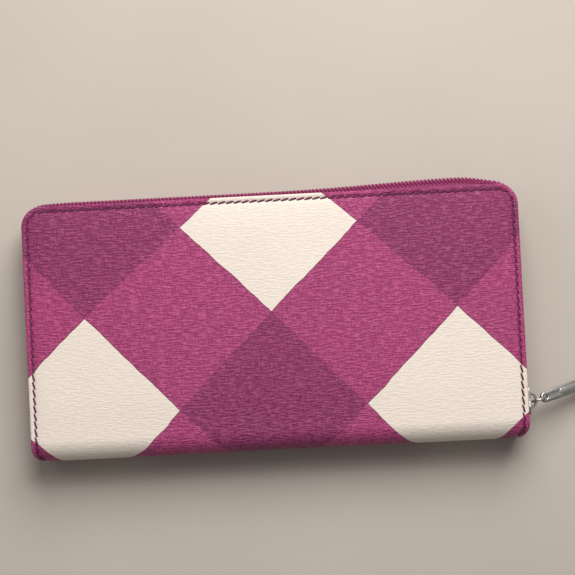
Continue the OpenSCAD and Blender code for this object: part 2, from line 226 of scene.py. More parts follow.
def lay_grid(name, places, flat=None, wear=None):
    """Adds a grid and lays each of its crossings at its place. flat gives each crossing's place on the flat cut
    sheet, kept as a UV map, and wear how much each is rubbed."""
    rows, columns = places.shape[:2]
    deselect()
    bpy.ops.mesh.primitive_grid_add(x_subdivisions=columns - 1, y_subdivisions=rows - 1, size=2)
    piece = bpy.context.object
    piece.name = piece.data.name = name
    start = read_points(piece)
    column = np.rint((start[:, 0] + 1) / 2 * (columns - 1)).astype(int)
    row = np.rint((start[:, 1] + 1) / 2 * (rows - 1)).astype(int)
    write_points(piece, places[row, column])
    if flat is not None:
        corners = np.empty(len(piece.data.loops), int)
        piece.data.loops.foreach_get("vertex_index", corners)
        while piece.data.uv_layers:
            piece.data.uv_layers.remove(piece.data.uv_layers[0])
        layer = piece.data.uv_layers.new(name="sheet")
        layer.data.foreach_set("uv", flat[row, column][corners].astype(np.float32).ravel())
    if wear is not None:
        mark(piece, "wear", wear[row, column])
    return piece


def apply_modifier(piece, kind, **settings):
    pick(piece)
    bpy.ops.object.modifier_add(type=kind)
    modifier = piece.modifiers[-1]
    for setting, value in settings.items():
        setattr(modifier, setting, value)
    bpy.ops.object.modifier_apply(modifier=modifier.name)


def thicken(piece, thickness):
    """Gives a sheet its thickness, on the side away from its face."""
    apply_modifier(piece, "SOLIDIFY", thickness=thickness, offset=-1, use_rim=True)


def edit_all(piece, *steps):
    """Runs edit mode steps on the whole of a piece."""
    pick(piece)
    bpy.ops.object.mode_set(mode="EDIT")
    bpy.ops.mesh.select_all(action="SELECT")
    for step in steps:
        step()
    bpy.ops.object.mode_set(mode="OBJECT")


def smooth(piece, degrees=40):
    pick(piece)
    bpy.ops.object.shade_smooth_by_angle(angle=math.radians(degrees))


def settle(piece):
    """Puts the piece's place into its mesh."""
    pick(piece)
    bpy.ops.object.transform_apply(location=True, rotation=True, scale=True)


def clean(piece):
    edit_all(piece, lambda: bpy.ops.mesh.remove_doubles(threshold=0.01 * MM),
             lambda: bpy.ops.mesh.normals_make_consistent(inside=False))


def join(name, pieces):
    deselect()
    for piece in pieces:
        piece.select_set(True)
    bpy.context.view_layer.objects.active = pieces[0]
    bpy.ops.object.join()
    whole = bpy.context.object
    whole.name = whole.data.name = name
    return whole


def hand_over(piece, body, slot, *nodes, fold=None):
    """Finishes a piece: gives it the material made for the record's slot and hides the CAD nodes it stands for. A
    piece without a fold is parented to the body it moves with; a piece with a fold only has its place put into its
    mesh."""
    piece.data.materials.clear()
    piece.data.materials.append(finish_for(slot))
    if nodes:
        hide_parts(*nodes)
    if fold:
        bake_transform(piece)
    else:
        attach(piece, body)
    return piece


def repeat(name, model, turns, places):
    """Copies a small mesh once to each place, turned by that place's three axes, into one mesh."""
    points = read_points(model)
    faces = [tuple(face.vertices) for face in model.data.polygons]
    count = len(points)
    every = [points @ np.asarray(turn).T + place for turn, place in zip(turns, places)]
    mesh = bpy.data.meshes.new(name)
    mesh.from_pydata(
        np.concatenate(every).tolist(), [],
        [tuple(v + k * count for v in face) for k in range(len(every)) for face in faces])
    mesh.update()
    bpy.data.objects.remove(model)
    piece = bpy.data.objects.new(name, mesh)
    bpy.context.scene.collection.objects.link(piece)
    smooth(piece, 60)
    return piece


def capsule(length, width, height, segments=8, rings=6):
    """A slender rounded bar along X: a stitch, or one turn of the coil seen from outside."""
    deselect()
    bpy.ops.mesh.primitive_uv_sphere_add(
        segments=segments, ring_count=rings, radius=1, rotation=(0, math.pi / 2, 0))
    bar = bpy.context.object
    settle(bar)
    points = read_points(bar)
    side = np.sign(points[:, 0]) * np.abs(points[:, 0]) ** 0.6
    girth = np.hypot(points[:, 1], points[:, 2])
    fuller = np.where(girth > 1e-6, girth ** 0.55 / np.maximum(girth, 1e-6), 0)
    write_points(bar, np.column_stack([
        side * length / 2, points[:, 1] * fuller * width / 2, points[:, 2] * fuller * height / 2]))
    return bar


def rounded(corners, radius, steps=6):
    """An outline with round corners, counter-clockwise. radius is one value or one for each corner."""
    outline = []
    count = len(corners)
    for k in range(count):
        before, here, after = (Vector(corners[(k + d) % count]) for d in (-1, 0, 1))
        r = radius[k] if hasattr(radius, "__len__") else radius
        to_before, to_after = (before - here).normalized(), (after - here).normalized()
        half = to_before.angle(to_after) / 2
        reach = r / math.tan(half)
        centre = here + (to_before + to_after).normalized() * r / math.sin(half)
        first, last = here + to_before * reach - centre, here + to_after * reach - centre
        for step in range(steps + 1):
            way = first.lerp(last, step / steps).normalized() * r
            outline.append(tuple(centre + way))
    return outline


def circle(radius, steps=40):
    turns = [2 * math.pi * k / steps for k in range(steps)]
    return [(radius * math.cos(a), radius * math.sin(a)) for a in turns]


def moved_in(outline, amount):
    """The outline moved inwards by amount, or outwards where amount is negative."""
    points = np.array(outline)
    ahead = np.roll(points, -1, axis=0) - np.roll(points, 1, axis=0)
    ahead /= np.linalg.norm(ahead, axis=1)[:, None]
    return points + np.column_stack([-ahead[:, 1], ahead[:, 0]]) * amount


def curve_mesh(name, dimensions, loops, closed, **settings):
    """A clean mesh from a curve of one or more straight-sided loops or lines of points."""
    curve = bpy.data.curves.new(name, "CURVE")
    curve.dimensions = dimensions
    for setting, value in settings.items():
        setattr(curve, setting, value)
    for loop in loops:
        spline = curve.splines.new("POLY")
        spline.points.add(len(loop) - 1)
        for point, place in zip(spline.points, loop):
            point.co = (*place, 1)
        spline.use_cyclic_u = closed
    piece = bpy.data.objects.new(name, curve)
    bpy.context.scene.collection.objects.link(piece)
    pick(piece)
    bpy.ops.object.convert(target="MESH")
    return bpy.context.object


def pressed_plate(name, outline, thickness, edge, holes=()):
    """A flat plate in X and Y with softened edges, centred on Z 0."""
    loops = [moved_in(outline, edge)] + [moved_in(hole, -edge) for hole in holes]
    plate = curve_mesh(name, "2D", [[(x, y, 0) for x, y in loop] for loop in loops], True, fill_mode="BOTH",
                       extrude=thickness / 2 - edge, bevel_depth=edge, bevel_resolution=2)
    clean(plate)
    return plate


def strap(name, line, radius, wider):
    """A bar with a rounded section that follows a line in X and Z, so many times wider than it is thick."""
    bar = curve_mesh(name, "3D", [[(x, 0, z) for x, z in line]], False, bevel_depth=radius, bevel_resolution=3,
                     use_fill_caps=True)
    bar.scale = (1, wider, 1)
    settle(bar)
    clean(bar)
    return bar


def soft_block(low, high, edge):
    """A block between two corners with rounded edges."""
    deselect()
    bpy.ops.mesh.primitive_cube_add(size=1, location=(Vector(low) + Vector(high)) / 2)
    block = bpy.context.object
    block.scale = Vector(high) - Vector(low)
    settle(block)
    apply_modifier(block, "BEVEL", width=edge, segments=3, limit_method="NONE")
    return block


def facing(piece, way):
    """Turns an open sheet over if its face doesn't look the given way, one direction or one for each point."""
    way = np.broadcast_to(np.asarray(way, float), (len(piece.data.vertices), 3))
    total = 0
    for face in piece.data.polygons:
        total += face.area * float(np.dot(way[face.vertices[0]], face.normal))
    if total < 0:
        edit_all(piece, bpy.ops.mesh.flip_normals)
    return piece


def unit(vectors):
    return vectors / np.linalg.norm(vectors, axis=-1, keepdims=True)


def finish_sheet(piece, way, thickness, body, slot, *nodes, fold=None):
    """Faces a laid sheet the given way, gives it its thickness and hands it over."""
    facing(piece, way)
    thicken(piece, thickness)
    smooth(piece, 50)
    return hand_over(piece, body, slot, *nodes, fold=fold)


def raised(profile, ring):
    """The height of each crossing of an edged sheet, from its border line's number."""
    return np.array([profile[-1][1]] + [height for _, height in profile[::-1]])[ring]


def across(line, values):
    """One row of values for each point of a line, as a grid."""
    return values[:, None] + 0 * line[:, 0]


def run_of(line):
    """The distance gone along a line at each of its points."""
    return np.concatenate([[0], np.cumsum(np.linalg.norm(np.diff(line, axis=0), axis=1))])


# Materials


class Finish:
    """A material and the nodes that give it its look."""

    def __init__(self, name, colour, roughness, **sockets):
        self.material = bpy.data.materials.new(name)
        self.material.use_nodes = True
        self.nodes = self.material.node_tree.nodes
        self.links = self.material.node_tree.links
        self.shader = self.nodes["Principled BSDF"]
        self.shader.inputs["Base Color"].default_value = (*colour, 1)
        self.shader.inputs["Roughness"].default_value = roughness
        for socket, value in sockets.items():
            self.shader.inputs[socket.replace("_", " ")].default_value = value

    def feed(self, socket, value):
        if isinstance(value, bpy.types.NodeSocket):
            self.links.new(value, socket)
        else:
            socket.default_value = value

    def to_shader(self, name, value):
        self.feed(self.shader.inputs[name], value)

    def math(self, operation, *values):
        node = self.nodes.new("ShaderNodeMath")
        node.operation = operation
        for socket, value in zip(node.inputs, values):
            self.feed(socket, value)
        return node.outputs[0]

    def total(self, *terms):
        """The sum of pairs of a value and its weight."""
        result = None
        for value, weight in terms:
            part = self.math("MULTIPLY", value, weight)
            result = part if result is None else self.math("ADD", result, part)
        return result

    def object_place(self):
        return self.nodes.new("ShaderNodeTexCoord").outputs["Object"]

    def sheet_place(self):
        node = self.nodes.new("ShaderNodeUVMap")
        node.uv_map = "sheet"
        return node.outputs[0]

    def stretched(self, place, scale, shift=(0, 0, 0), turn=0.0, kind="POINT"):
        node = self.nodes.new("ShaderNodeMapping")
        node.vector_type = kind
        self.feed(node.inputs["Vector"], place)
        node.inputs["Location"].default_value = shift
        node.inputs["Rotation"].default_value = (0, 0, turn)
        node.inputs["Scale"].default_value = scale
        return node.outputs[0]

    def noise(self, place, scale, detail=2.0, roughness=0.5, colour=False):
        node = self.nodes.new("ShaderNodeTexNoise")
        self.feed(node.inputs["Vector"], place)
        node.inputs["Scale"].default_value = scale
        node.inputs["Detail"].default_value = detail
        node.inputs["Roughness"].default_value = roughness
        return node.outputs[1 if colour else 0]

    def between(self, value, low, high, to_low=0.0, to_high=1.0):
        node = self.nodes.new("ShaderNodeMapRange")
        node.interpolation_type = "SMOOTHSTEP"
        for name, given in zip(("Value", "From Min", "From Max", "To Min", "To Max"),
                               (value, low, high, to_low, to_high)):
            self.feed(node.inputs[name], given)
        return node.outputs[0]

    def mix(self, share, first, second):
        node = self.nodes.new("ShaderNodeMix")
        node.data_type = "RGBA"
        self.feed(node.inputs["Factor"], share)
        for socket, colour in zip(("A", "B"), (first, second)):
            given = next(s for s in node.inputs if s.name == socket and s.type == "RGBA")
            self.feed(given, (*colour, 1) if isinstance(colour, (tuple, list)) else colour)
        return next(s for s in node.outputs if s.type == "RGBA")

    def shaded(self, colour, value):
        """The colour made lighter or darker by a value round 1."""
        node = self.nodes.new("ShaderNodeVectorMath")
        node.operation = "SCALE"
        self.feed(node.inputs[0], colour if isinstance(colour, bpy.types.NodeSocket) else tuple(colour))
        self.feed(node.inputs["Scale"], value)
        return node.outputs[0]

    def split(self, place):
        node = self.nodes.new("ShaderNodeSeparateXYZ")
        self.feed(node.inputs[0], place)
        return node.outputs[0], node.outputs[1]

    def bumped(self, height, distance):
        node = self.nodes.new("ShaderNodeBump")
        node.inputs["Distance"].default_value = distance
        node.inputs["Strength"].default_value = 1.0
        self.feed(node.inputs["Height"], height)
        self.to_shader("Normal", node.outputs[0])

    def attribute(self, name):
        node = self.nodes.new("ShaderNodeAttribute")
        node.attribute_name = name
        return node.outputs["Fac"]


def tone(colour, share):
    return tuple(min(1, c * share) for c in colour)


def printed_leather(settings):
    """Cross-grained leather printed with a three-colour check that stands on its corners."""
    ivory, magenta, plum = tuple(settings.ivory), tuple(settings.magenta), tuple(settings.plum)
    finish = Finish("printed_leather", magenta, 0.46, Specular_IOR_Level=0.36)
    place = finish.sheet_place()

    ridges = finish.noise(finish.stretched(place, (300, 1500, 1)), 1, 2.5, 0.6)
    hatching = finish.noise(finish.stretched(place, (1500, 340, 1)), 1, 2.0, 0.5)
    pores = finish.noise(finish.stretched(place, (2100, 2600, 1)), 1, 1.0, 0.5)
    crests = finish.between(ridges, 0.38, 0.62)
    threads = finish.between(hatching, 0.4, 0.62)
    grain = finish.total((crests, 0.62), (threads, 0.26), (pores, 0.24))

    sway = finish.noise(place, 75, 2.0, 0.6, colour=True)
    waver = finish.nodes.new("ShaderNodeVectorMath")
    waver.operation = "MULTIPLY_ADD"
    finish.feed(waver.inputs[0], sway)
    waver.inputs[1].default_value = (1.7 * MM, 1.7 * MM, 0)
    finish.feed(waver.inputs[2], place)
    lattice = finish.stretched(
        waver.outputs[0], (settings.square, settings.square * 0.977, 1),
        shift=(-0.45 * MM, 5.1 * MM, 0), turn=math.radians(-0.9), kind="TEXTURE")
    across, up = finish.split(lattice)
    near = finish.math("MINIMUM", finish.math("MAXIMUM", up, -0.6), 0.7)
    near_squared = finish.math("MULTIPLY", near, near)
    across = finish.math("MULTIPLY", across, finish.math(
        "ADD", finish.total((near, 0.05), (near_squared, 0.1)), 1.0))
    up = finish.math("ADD", up, finish.math("MULTIPLY", near_squared, 0.08))
    flat_x, flat_y = finish.split(place)
    pulled = finish.math("MULTIPLY", finish.between(finish.math("ABSOLUTE", flat_x), 70 * MM, 98 * MM),
                         finish.between(finish.math("ABSOLUTE", finish.math("ADD", flat_y, 54 * MM)),
                                        6 * MM, 26 * MM, 1.0, 0.0))
    across = finish.math("MULTIPLY", across, finish.math("MULTIPLY_ADD", pulled, 0.065, 1.0))
    rising = finish.math("ADD", across, up)
    falling = finish.math("SUBTRACT", across, up)
    rising_odd = finish.math("GREATER_THAN", finish.math("FLOORED_MODULO", rising, 2.0), 1.0)
    falling_odd = finish.math("GREATER_THAN", finish.math("FLOORED_MODULO", falling, 2.0), 1.0)
    pale = finish.math("MULTIPLY", finish.math("SUBTRACT", 1.0, rising_odd), falling_odd)
    dark = finish.math("MULTIPLY", rising_odd, finish.math("SUBTRACT", 1.0, falling_odd))
    border = finish.math("MINIMUM", finish.math("PINGPONG", rising, 0.5), finish.math("PINGPONG", falling, 0.5))
    outline = finish.math("MULTIPLY", pale, finish.between(border, 0.0028, 0.006, 1.0, 0.0))

    cloud = finish.noise(place, 28, 2.0)
    # Painted shade and highlight: the grain's crests and cross threads lighten the squares' colour and its hollows
    # darken it; the cloud adds a random lighter and darker tone.
    grain_shade_and_tone = finish.total((crests, 0.3), (threads, 0.18), (cloud, 0.2))
    coloured = finish.mix(dark, magenta, plum)
    coloured = finish.shaded(coloured, finish.math("ADD", grain_shade_and_tone, 0.66))
    # Painted highlight: the grain's crests are mixed towards a pale pink, standing in for the glints of light on them.
    coloured = finish.mix(finish.total((crests, 0.075), (threads, 0.03)), coloured, linear(226, 160, 190))
    # The pale squares get the same painted shade and highlight on the grain's crests and cross threads, and a random
    # cloud of tone.
    paper = finish.shaded(ivory, finish.math(
        "ADD", finish.total((crests, 0.045), (threads, 0.02), (cloud, 0.06)), 0.92))
    colour = finish.mix(pale, coloured, paper)
    colour = finish.mix(outline, colour, tone(plum, 0.55))
    wear = finish.math("MULTIPLY", finish.attribute("wear"), finish.between(
        finish.noise(place, 210, 3.0), 0.44, 0.7))
    colour = finish.mix(finish.math("MULTIPLY", wear, 0.16), colour, tone(magenta, 1.5))
    finish.to_shader("Base Color", colour)
    finish.to_shader("Roughness", finish.math(
        "ADD", finish.total((crests, -0.10), (cloud, 0.12), (pale, 0.06)), 0.46))
    finish.bumped(finish.math("MULTIPLY", grain, finish.math("MULTIPLY_ADD", pale, -0.65, 1.0)), settings.grain)
    return finish.material


def inner_leather(settings):
    """Plain smooth leather with a fine pebbled grain."""
    base = tuple(settings.inner)
    finish = Finish("inner_leather", base, 0.45, Specular_IOR_Level=0.4)
    place = finish.object_place()
    pebbles = finish.nodes.new("ShaderNodeTexVoronoi")
    pebbles.inputs["Scale"].default_value = 1500
    finish.feed(pebbles.inputs["Vector"], place)
    folds = finish.noise(place, 420, 3.0, 0.6)
    cloud = finish.noise(place, 40, 2.0)
    # Painted shade: the folds that make the bump also darken the colour in their hollows and lighten it on their tops;
    # the cloud is a random tone.
    value = finish.math("ADD", finish.total((cloud, 0.36), (folds, 0.22)), 0.72)
    finish.to_shader("Base Color", finish.shaded(base, value))
    finish.to_shader("Roughness", finish.between(folds, 0.3, 0.7, 0.38, 0.56))
    finish.bumped(finish.total((pebbles.outputs[0], 0.5), (folds, 0.6)), 0.12 * MM)
    return finish.material


def sewing_thread(settings):
    """Twisted waxed thread."""
    base = tuple(settings.colour)
    finish = Finish("sewing_thread", base, 0.5)
    place = finish.object_place()
    twist = finish.nodes.new("ShaderNodeTexWave")
    twist.wave_type = "BANDS"
    twist.bands_direction = "DIAGONAL"
    twist.inputs["Scale"].default_value = 950
    twist.inputs["Distortion"].default_value = 1.2
    finish.feed(twist.inputs["Vector"], place)
    fuzz = finish.noise(place, 900, 2.0)
    # Painted shade: the stitch's ends, where they sink into their holes, are darkened down to 0.3 of the thread's
    # colour, and the twist's bands lighten and darken it as shade between the strands; the fuzz adds a random tone.
    hole_shade = finish.between(finish.attribute("sunk"), 0.6, 1.0, 1.0, 0.3)
    finish.to_shader("Base Color", finish.shaded(base, finish.math("MULTIPLY", hole_shade, finish.math(
        "ADD", finish.total((twist.outputs["Fac"], 0.5), (fuzz, 0.5)), 0.55))))
    finish.to_shader("Roughness", finish.between(fuzz, 0.3, 0.7, 0.4, 0.65))
    finish.bumped(twist.outputs["Fac"], 0.1 * MM)
    return finish.material


def woven(name, base, ribs, depth, on_sheet=True):
    """Close-woven textile in a twill whose slanting ribs lie the given distance apart."""
    finish = Finish(name, base, 0.75, Sheen_Weight=0.04, Sheen_Roughness=0.5)
    place = finish.sheet_place() if on_sheet else finish.object_place()
    across, up = finish.split(place)
    slanted = finish.math("SUBTRACT", across, finish.math("MULTIPLY", up, 0.8))
    rib = finish.math("SINE", finish.math("MULTIPLY", slanted, 2 * math.pi / ribs))
    yarn = finish.math("SINE", finish.math("MULTIPLY", up, 2 * math.pi / (ribs * 0.45)))
    fibre = finish.noise(place, 1800, 2.0)
    cloud = finish.noise(place, 60, 2.0)
    weave = finish.total((rib, 0.34), (yarn, 0.16), (fibre, 0.3))
    # Painted shade: the ribs and yarns lighten and darken the colour as they rise and fall; the fibre and cloud noise
    # add a random tone.
    finish.to_shader("Base Color", finish.shaded(base, finish.math(
        "ADD", finish.total((rib, 0.2), (yarn, 0.05), (fibre, 0.25), (cloud, 0.3)), 0.72)))
    finish.to_shader("Roughness", finish.between(fibre, 0.3, 0.7, 0.65, 0.87))
    finish.bumped(weave, depth)
    return finish.material


def nylon_coil(settings):
    """Satin nylon with slight streaks from drawing the wire."""
    base = tuple(settings.coil)
    finish = Finish("nylon_coil", base, 0.38, Specular_IOR_Level=0.5)
    place = finish.object_place()
    streaks = finish.noise(finish.stretched(place, (1, 1, 3)), 700, 2.0)
    cloud = finish.noise(place, 90, 2.0)
    finish.to_shader("Base Color", finish.shaded(base, finish.math(
        "ADD", finish.total((streaks, 0.3), (cloud, 0.35)), 0.68)))
    finish.to_shader("Roughness", finish.between(streaks, 0.3, 0.7, 0.3, 0.48))
    finish.bumped(streaks, 0.05 * MM)
    return finish.material


def plated_metal(settings):
    """Polished nickel plate with faint smudges and fine scratches."""
    base = tuple(settings.metal)
    finish = Finish("plated_metal", base, 0.34, Metallic=1.0)
    place = finish.object_place()
    smudge = finish.noise(place, 220, 3.0, 0.6)
    scratches = finish.noise(finish.stretched(place, (260, 2600, 2600), turn=0.3), 1, 2.0)
    finish.to_shader("Base Color", finish.shaded(base, finish.between(smudge, 0.3, 0.75, 0.9, 1.04)))
    finish.to_shader("Roughness", finish.math("ADD", finish.total((smudge, 0.2), (scratches, 0.12)), 0.2))
    finish.bumped(scratches, 0.004 * MM)
    return finish.material


def pressed_board():
    """Grey fibre board."""
    base = linear(176, 168, 154)
    finish = Finish("pressed_board", base, 0.85)
    place = finish.object_place()
    fibres = finish.noise(finish.stretched(place, (300, 900, 300)), 1, 3.0, 0.7)
    finish.to_shader("Base Color", finish.shaded(base, finish.between(fibres, 0.3, 0.7, 0.82, 1.1)))
    finish.bumped(fibres, 0.08 * MM)
    return finish.material


def table_top(colour):
    """A plain pale matt surface."""
    finish = Finish("table_top", tuple(colour), 0.8)
    place = finish.object_place()
    mottle = finish.noise(place, 9, 3.0)
    finish.to_shader("Base Color", finish.shaded(tuple(colour), finish.between(mottle, 0.3, 0.7, 0.97, 1.02)))
    finish.bumped(finish.noise(place, 700, 2.0), 0.05 * MM)
    return finish.material


FINISHES = {}


def finish_for(slot):
    """The material of one of the record's slots, made the first time it is asked for."""
    if slot not in FINISHES:
        scene = bpy.context.scene
        makers = {
            "printed_leather": lambda: printed_leather(scene.wallet_leather),
            "inner_leather": lambda: inner_leather(scene.wallet_leather),
            "thread": lambda: sewing_thread(scene.wallet_thread),
            "zip_tape": lambda: woven("woven_tape", tuple(scene.wallet_zip.tape), 1.1 * MM, 0.3 * MM),
            "zip_coil": lambda: nylon_coil(scene.wallet_zip),
            "lining_textile": lambda: woven(
                "lining_twill", tone(scene.wallet_leather.plum, 0.45), 0.5 * MM, 0.06 * MM, on_sheet=False),
            "polished_metal": lambda: plated_metal(scene.wallet_zip),
            "stiffening_board": pressed_board,
        }
        FINISHES[slot] = makers[slot]()
    return FINISHES[slot]


def dress(node, slot):
    """Gives a CAD node that keeps its shape its finished material."""
    cad = frame["nodes"][node]
    cad.data.materials.clear()
    cad.data.materials.append(finish_for(slot))


# The shape of a cover: one sheet that runs from the free edge, over the face and round the spine


def spine_narrowing(v):
    """How much narrower the sheet is on each side as it turns round the spine."""
    turn = (BEND_Y - np.asarray(v, float)) / BEND_ARC
    return 2.6 * MM * ease((turn - 0.28) / 0.72)


def on_shell(x, v, h, back=False):
    """A point of the front cover's sheet in space. v runs along the flat sheet from the free edge to the spine and
    h is the height above the leather's underside. The back cover is the front turned over about Y."""
    x, v, h = np.broadcast_arrays(np.asarray(x, float), v, h)
    turn = np.clip((BEND_Y - v) / BEND_R, 0, math.pi / 2)
    past = np.clip(BEND_END - v, 0, None)
    radius = BEND_R - LEATHER_T + h
    y = np.where(v >= BEND_Y, v, BEND_Y - radius * np.sin(turn))
    z = np.where(v >= BEND_Y, UNDER_Z + h, BODY_T - BEND_R + radius * np.cos(turn) - past)
    if back:
        return np.stack([-x, y, BODY_T - z], axis=-1)
    return np.stack([x, y, z], axis=-1)


def sheet_rows(first, last, step):
    count = max(1, int(round(abs(last - first) / step)))
    return np.linspace(first, last, count + 1)


def edged_sheet(profile, v_end, step=1.6 * MM, top=True, half=HALF_W, high=FREE_Y, radius=CORNER_R):
    """The flat places of a sheet with two round corners. profile lists the inset and height of each line of its
    border from the hidden inner side, round the rim, to its face, each inset less than the corners' radius. Returns x,
    v and the border line's number, counted outwards from 1, for each crossing."""
    insets = np.array([p[0] for p in profile])
    count = len(profile)
    middle = sheet_rows(-(half - radius), half - radius, step)
    ring_x = np.concatenate([np.arange(count, 0, -1), np.zeros(len(middle)), np.arange(1, count + 1)])
    side = np.concatenate([-np.ones(count), np.zeros(len(middle)), np.ones(count)])
    base_x = np.concatenate([np.full(count, middle[0]), middle, np.full(count, middle[-1])])
    rows = sheet_rows(high - radius, max(BEND_Y, v_end), step)
    if v_end < BEND_Y:
        rows = np.concatenate([rows, sheet_rows(BEND_Y, max(BEND_END, v_end), 0.6 * MM)[1:]])
    if v_end < BEND_END:
        rows = np.concatenate([rows, [v_end]])
    ring_v = np.concatenate([np.arange(count, 0, -1), np.zeros(len(rows))]) if top else np.zeros(len(rows))
    base_v = np.concatenate([np.full(count, high - radius), rows]) if top else rows
    rx, rv = np.meshgrid(ring_x, ring_v)
    bx, bv = np.meshgrid(base_x, base_v)
    sx = np.broadcast_to(side, rx.shape)
    ring = np.maximum(rx, rv).astype(int)
    share = np.where(ring > 0, np.minimum(rx, rv) / np.maximum(ring, 1), 0)
    angle = np.where(rx >= rv, share * math.pi / 4, math.pi / 2 - share * math.pi / 4)
    out = np.concatenate([[0], radius - insets[::-1]])[ring]
    x = bx + sx * out * np.cos(angle) * (ring > 0)
    v = bv + np.where(rv > 0, out * np.sin(angle), 0)
    x = x - np.sign(sx) * spine_narrowing(bv)
    return x[::-1], v[::-1], ring[::-1]


def waves(x, v, phase):
    """The slow unevenness of padded leather."""
    return 0.09 * MM * (
        np.sin(x * 71 + v * 40 + phase) + np.sin(x * 38 - v * 88 + 2.1 * phase)
        + 0.6 * np.sin(x * 131 + 1.3 * phase) * np.sin(v * 117 - phase))


def in_metres(profile):
    return [(inset * MM, height * MM) for inset, height in profile]


# Inset and height of the turned edge's lines, from its hidden side, and the height at the bottom of its channel
RIM = in_metres([
    (6.4, 0.00), (4.2, 0.00), (2.2, 0.00), (1.0, 0.00), (0.42, 0.03), (0.14, 0.16), (0.02, 0.40), (0.02, 0.66),
    (0.12, 0.85), (0.32, 0.98), (0.6, 1.05), (0.92, 1.06), (1.25, 1.00), (1.55, 0.88), (1.83, 0.76), (2.1, 0.71),
    (2.37, 0.76), (2.7, 0.88), (3.1, 1.02), (3.7, 1.13), (4.6, 1.22), (5.9, 1.27), (7.4, 1.29),
])
VALLEY = 0.71 * MM

# The padding starts inside the seam and is full further in, over the innermost border lines
PAD_START = 3 * MM
PAD_RISE = 11 * MM
PAD_LINES = 8

# The border's innermost lines are pressed a little flatter round the spine
RIM_LINES = 6
RIM_PRESS = 0.08 * MM


def cover_sheet(name, back, v_end, settings):
    x, v, ring = edged_sheet(RIM, v_end)
    height = raised(RIM, ring)
    inside = np.minimum(HALF_W - np.abs(x), FREE_Y - v)
    face = ease((inside - PAD_START) / PAD_RISE) * (ring <= PAD_LINES)
    flat = ease((v - BEND_Y) / (16 * MM))
    swell = settings.puff + waves(x, v, 0)
    height = height + face * ((0.25 + 0.75 * flat) * swell if not back else waves(x, v, 0.7) * 0.3 - 0.12 * MM)
    height = height - (ring <= RIM_LINES) * RIM_PRESS * (1 - flat)
    crest = np.isin(ring, [len(RIM) - k for k in (7, 8, 9, 10, 11)])
    return lay_grid(name, on_shell(x, v, height, back), np.stack([x, v], axis=-1), crest * 1.0)


class WALLET_OT_stage(bpy.types.Operator):
    """Sets the camera, the soft lights and the plain table"""
    bl_idname = "wallet.stage"
    bl_label = "Stage"

    def execute(self, context):
        settings = context.scene.wallet_stage
        target = Vector((5.6 * MM, 13.4 * MM, BODY_T))
        away = Vector((0, -math.cos(settings.elevation), math.sin(settings.elevation)))
        lens = bpy.data.cameras.new("view")
        lens.sensor_width = 36
        lens.lens = lens.sensor_width * settings.distance / settings.width
        lens.clip_start = 0.01
        camera = bpy.data.objects.new("view", lens)
        context.scene.collection.objects.link(camera)
        up = Vector((math.sin(settings.roll), math.cos(settings.roll), 0))
        depth = away.normalized()
        right = up.cross(depth).normalized()
        turned = Matrix((right, depth.cross(right), depth)).transposed()
        camera.matrix_world = Matrix.Translation(target + away * settings.distance) @ turned.to_4x4()
        context.scene.camera = camera

        self.light("window", (0.1, 0.44, 0.52), 0.5, 5.0, (1, 0.975, 0.945))
        self.light("overhead", (0.16, 0.5, 1.2), 0.45, 3.7, (1, 0.97, 0.94))
        self.light("bounce", (-0.6, 0.35, 0.9), 1.0, 1.4, (1, 0.96, 0.92))
        world = bpy.data.worlds.new("room")
        world.use_nodes = True
        world.node_tree.nodes["Background"].inputs[0].default_value = (*linear(240, 236, 232), 1)
        world.node_tree.nodes["Background"].inputs[1].default_value = 0.22
        context.scene.world = world
        context.scene.view_settings.view_transform = "Standard"

        deselect()
        bpy.ops.mesh.primitive_plane_add(size=4, location=(0, 0, -0.05 * MM))
        table = context.object
        table.name = "table"
        table.data.materials.append(table_top(settings.table))
        return {"FINISHED"}

    def light(self, name, place, size, power, colour):
        lamp = bpy.data.lights.new(name, "AREA")
        lamp.shape = "DISK"
        lamp.size = size
        lamp.energy = power
        lamp.color = colour
        holder = bpy.data.objects.new(name, lamp)
        bpy.context.scene.collection.objects.link(holder)
        holder.location = place
        holder.rotation_euler = (-Vector(place)).to_track_quat("-Z", "Y").to_euler()


class WALLET_OT_covers(bpy.types.Operator):
    """Makes the padded outer leather: two covers with turned edges and the strip round the spine"""
    bl_idname = "wallet.covers"
    bl_label = "Covers"

    def execute(self, context):
        settings = context.scene.wallet_leather
        v_seam = BEND_END - (BODY_T - BEND_R - SEAM_Z)
        for side, back, fold in COVER_SIDES:
            piece = cover_sheet(f"{side}_cover", back, v_seam, settings)
            finish_sheet(piece, (0, 0, -1 if back else 1), OUTER_SKIN, (f"{side}_half", "spine"), "printed_leather",
                         f"{side}_cover_leather", fold=fold)
        self.spine(settings, v_seam)
        return {"FINISHED"}

    def spine(self, settings, v_seam):
        v_other = v_seam - 2 * (SEAM_Z - MID_Z)
        x, v, ring = edged_sheet(RIM, BEND_END, top=False)
        rows = np.linspace(v_other, v_seam, 5)
        x = np.repeat(x[:1], len(rows), axis=0)
        ring = np.repeat(ring[:1], len(rows), axis=0)
        v = np.repeat(rows[:, None], x.shape[1], axis=1)
        height = raised(RIM, ring) - (ring <= RIM_LINES) * RIM_PRESS
        inside = HALF_W - np.abs(x)
        height = height + ease((inside - PAD_START) / PAD_RISE) * (ring <= PAD_LINES) * 0.25 * settings.puff
        piece = lay_grid("spine_strip", on_shell(x, v, height), np.stack([x, v], axis=-1), 0 * x)
        finish_sheet(piece, (0, -1, 0), OUTER_SKIN, "spine", "printed_leather", "spine_leather")


# The lines that edges, seams and the zip follow: up the right side, along the free edge and down the left side


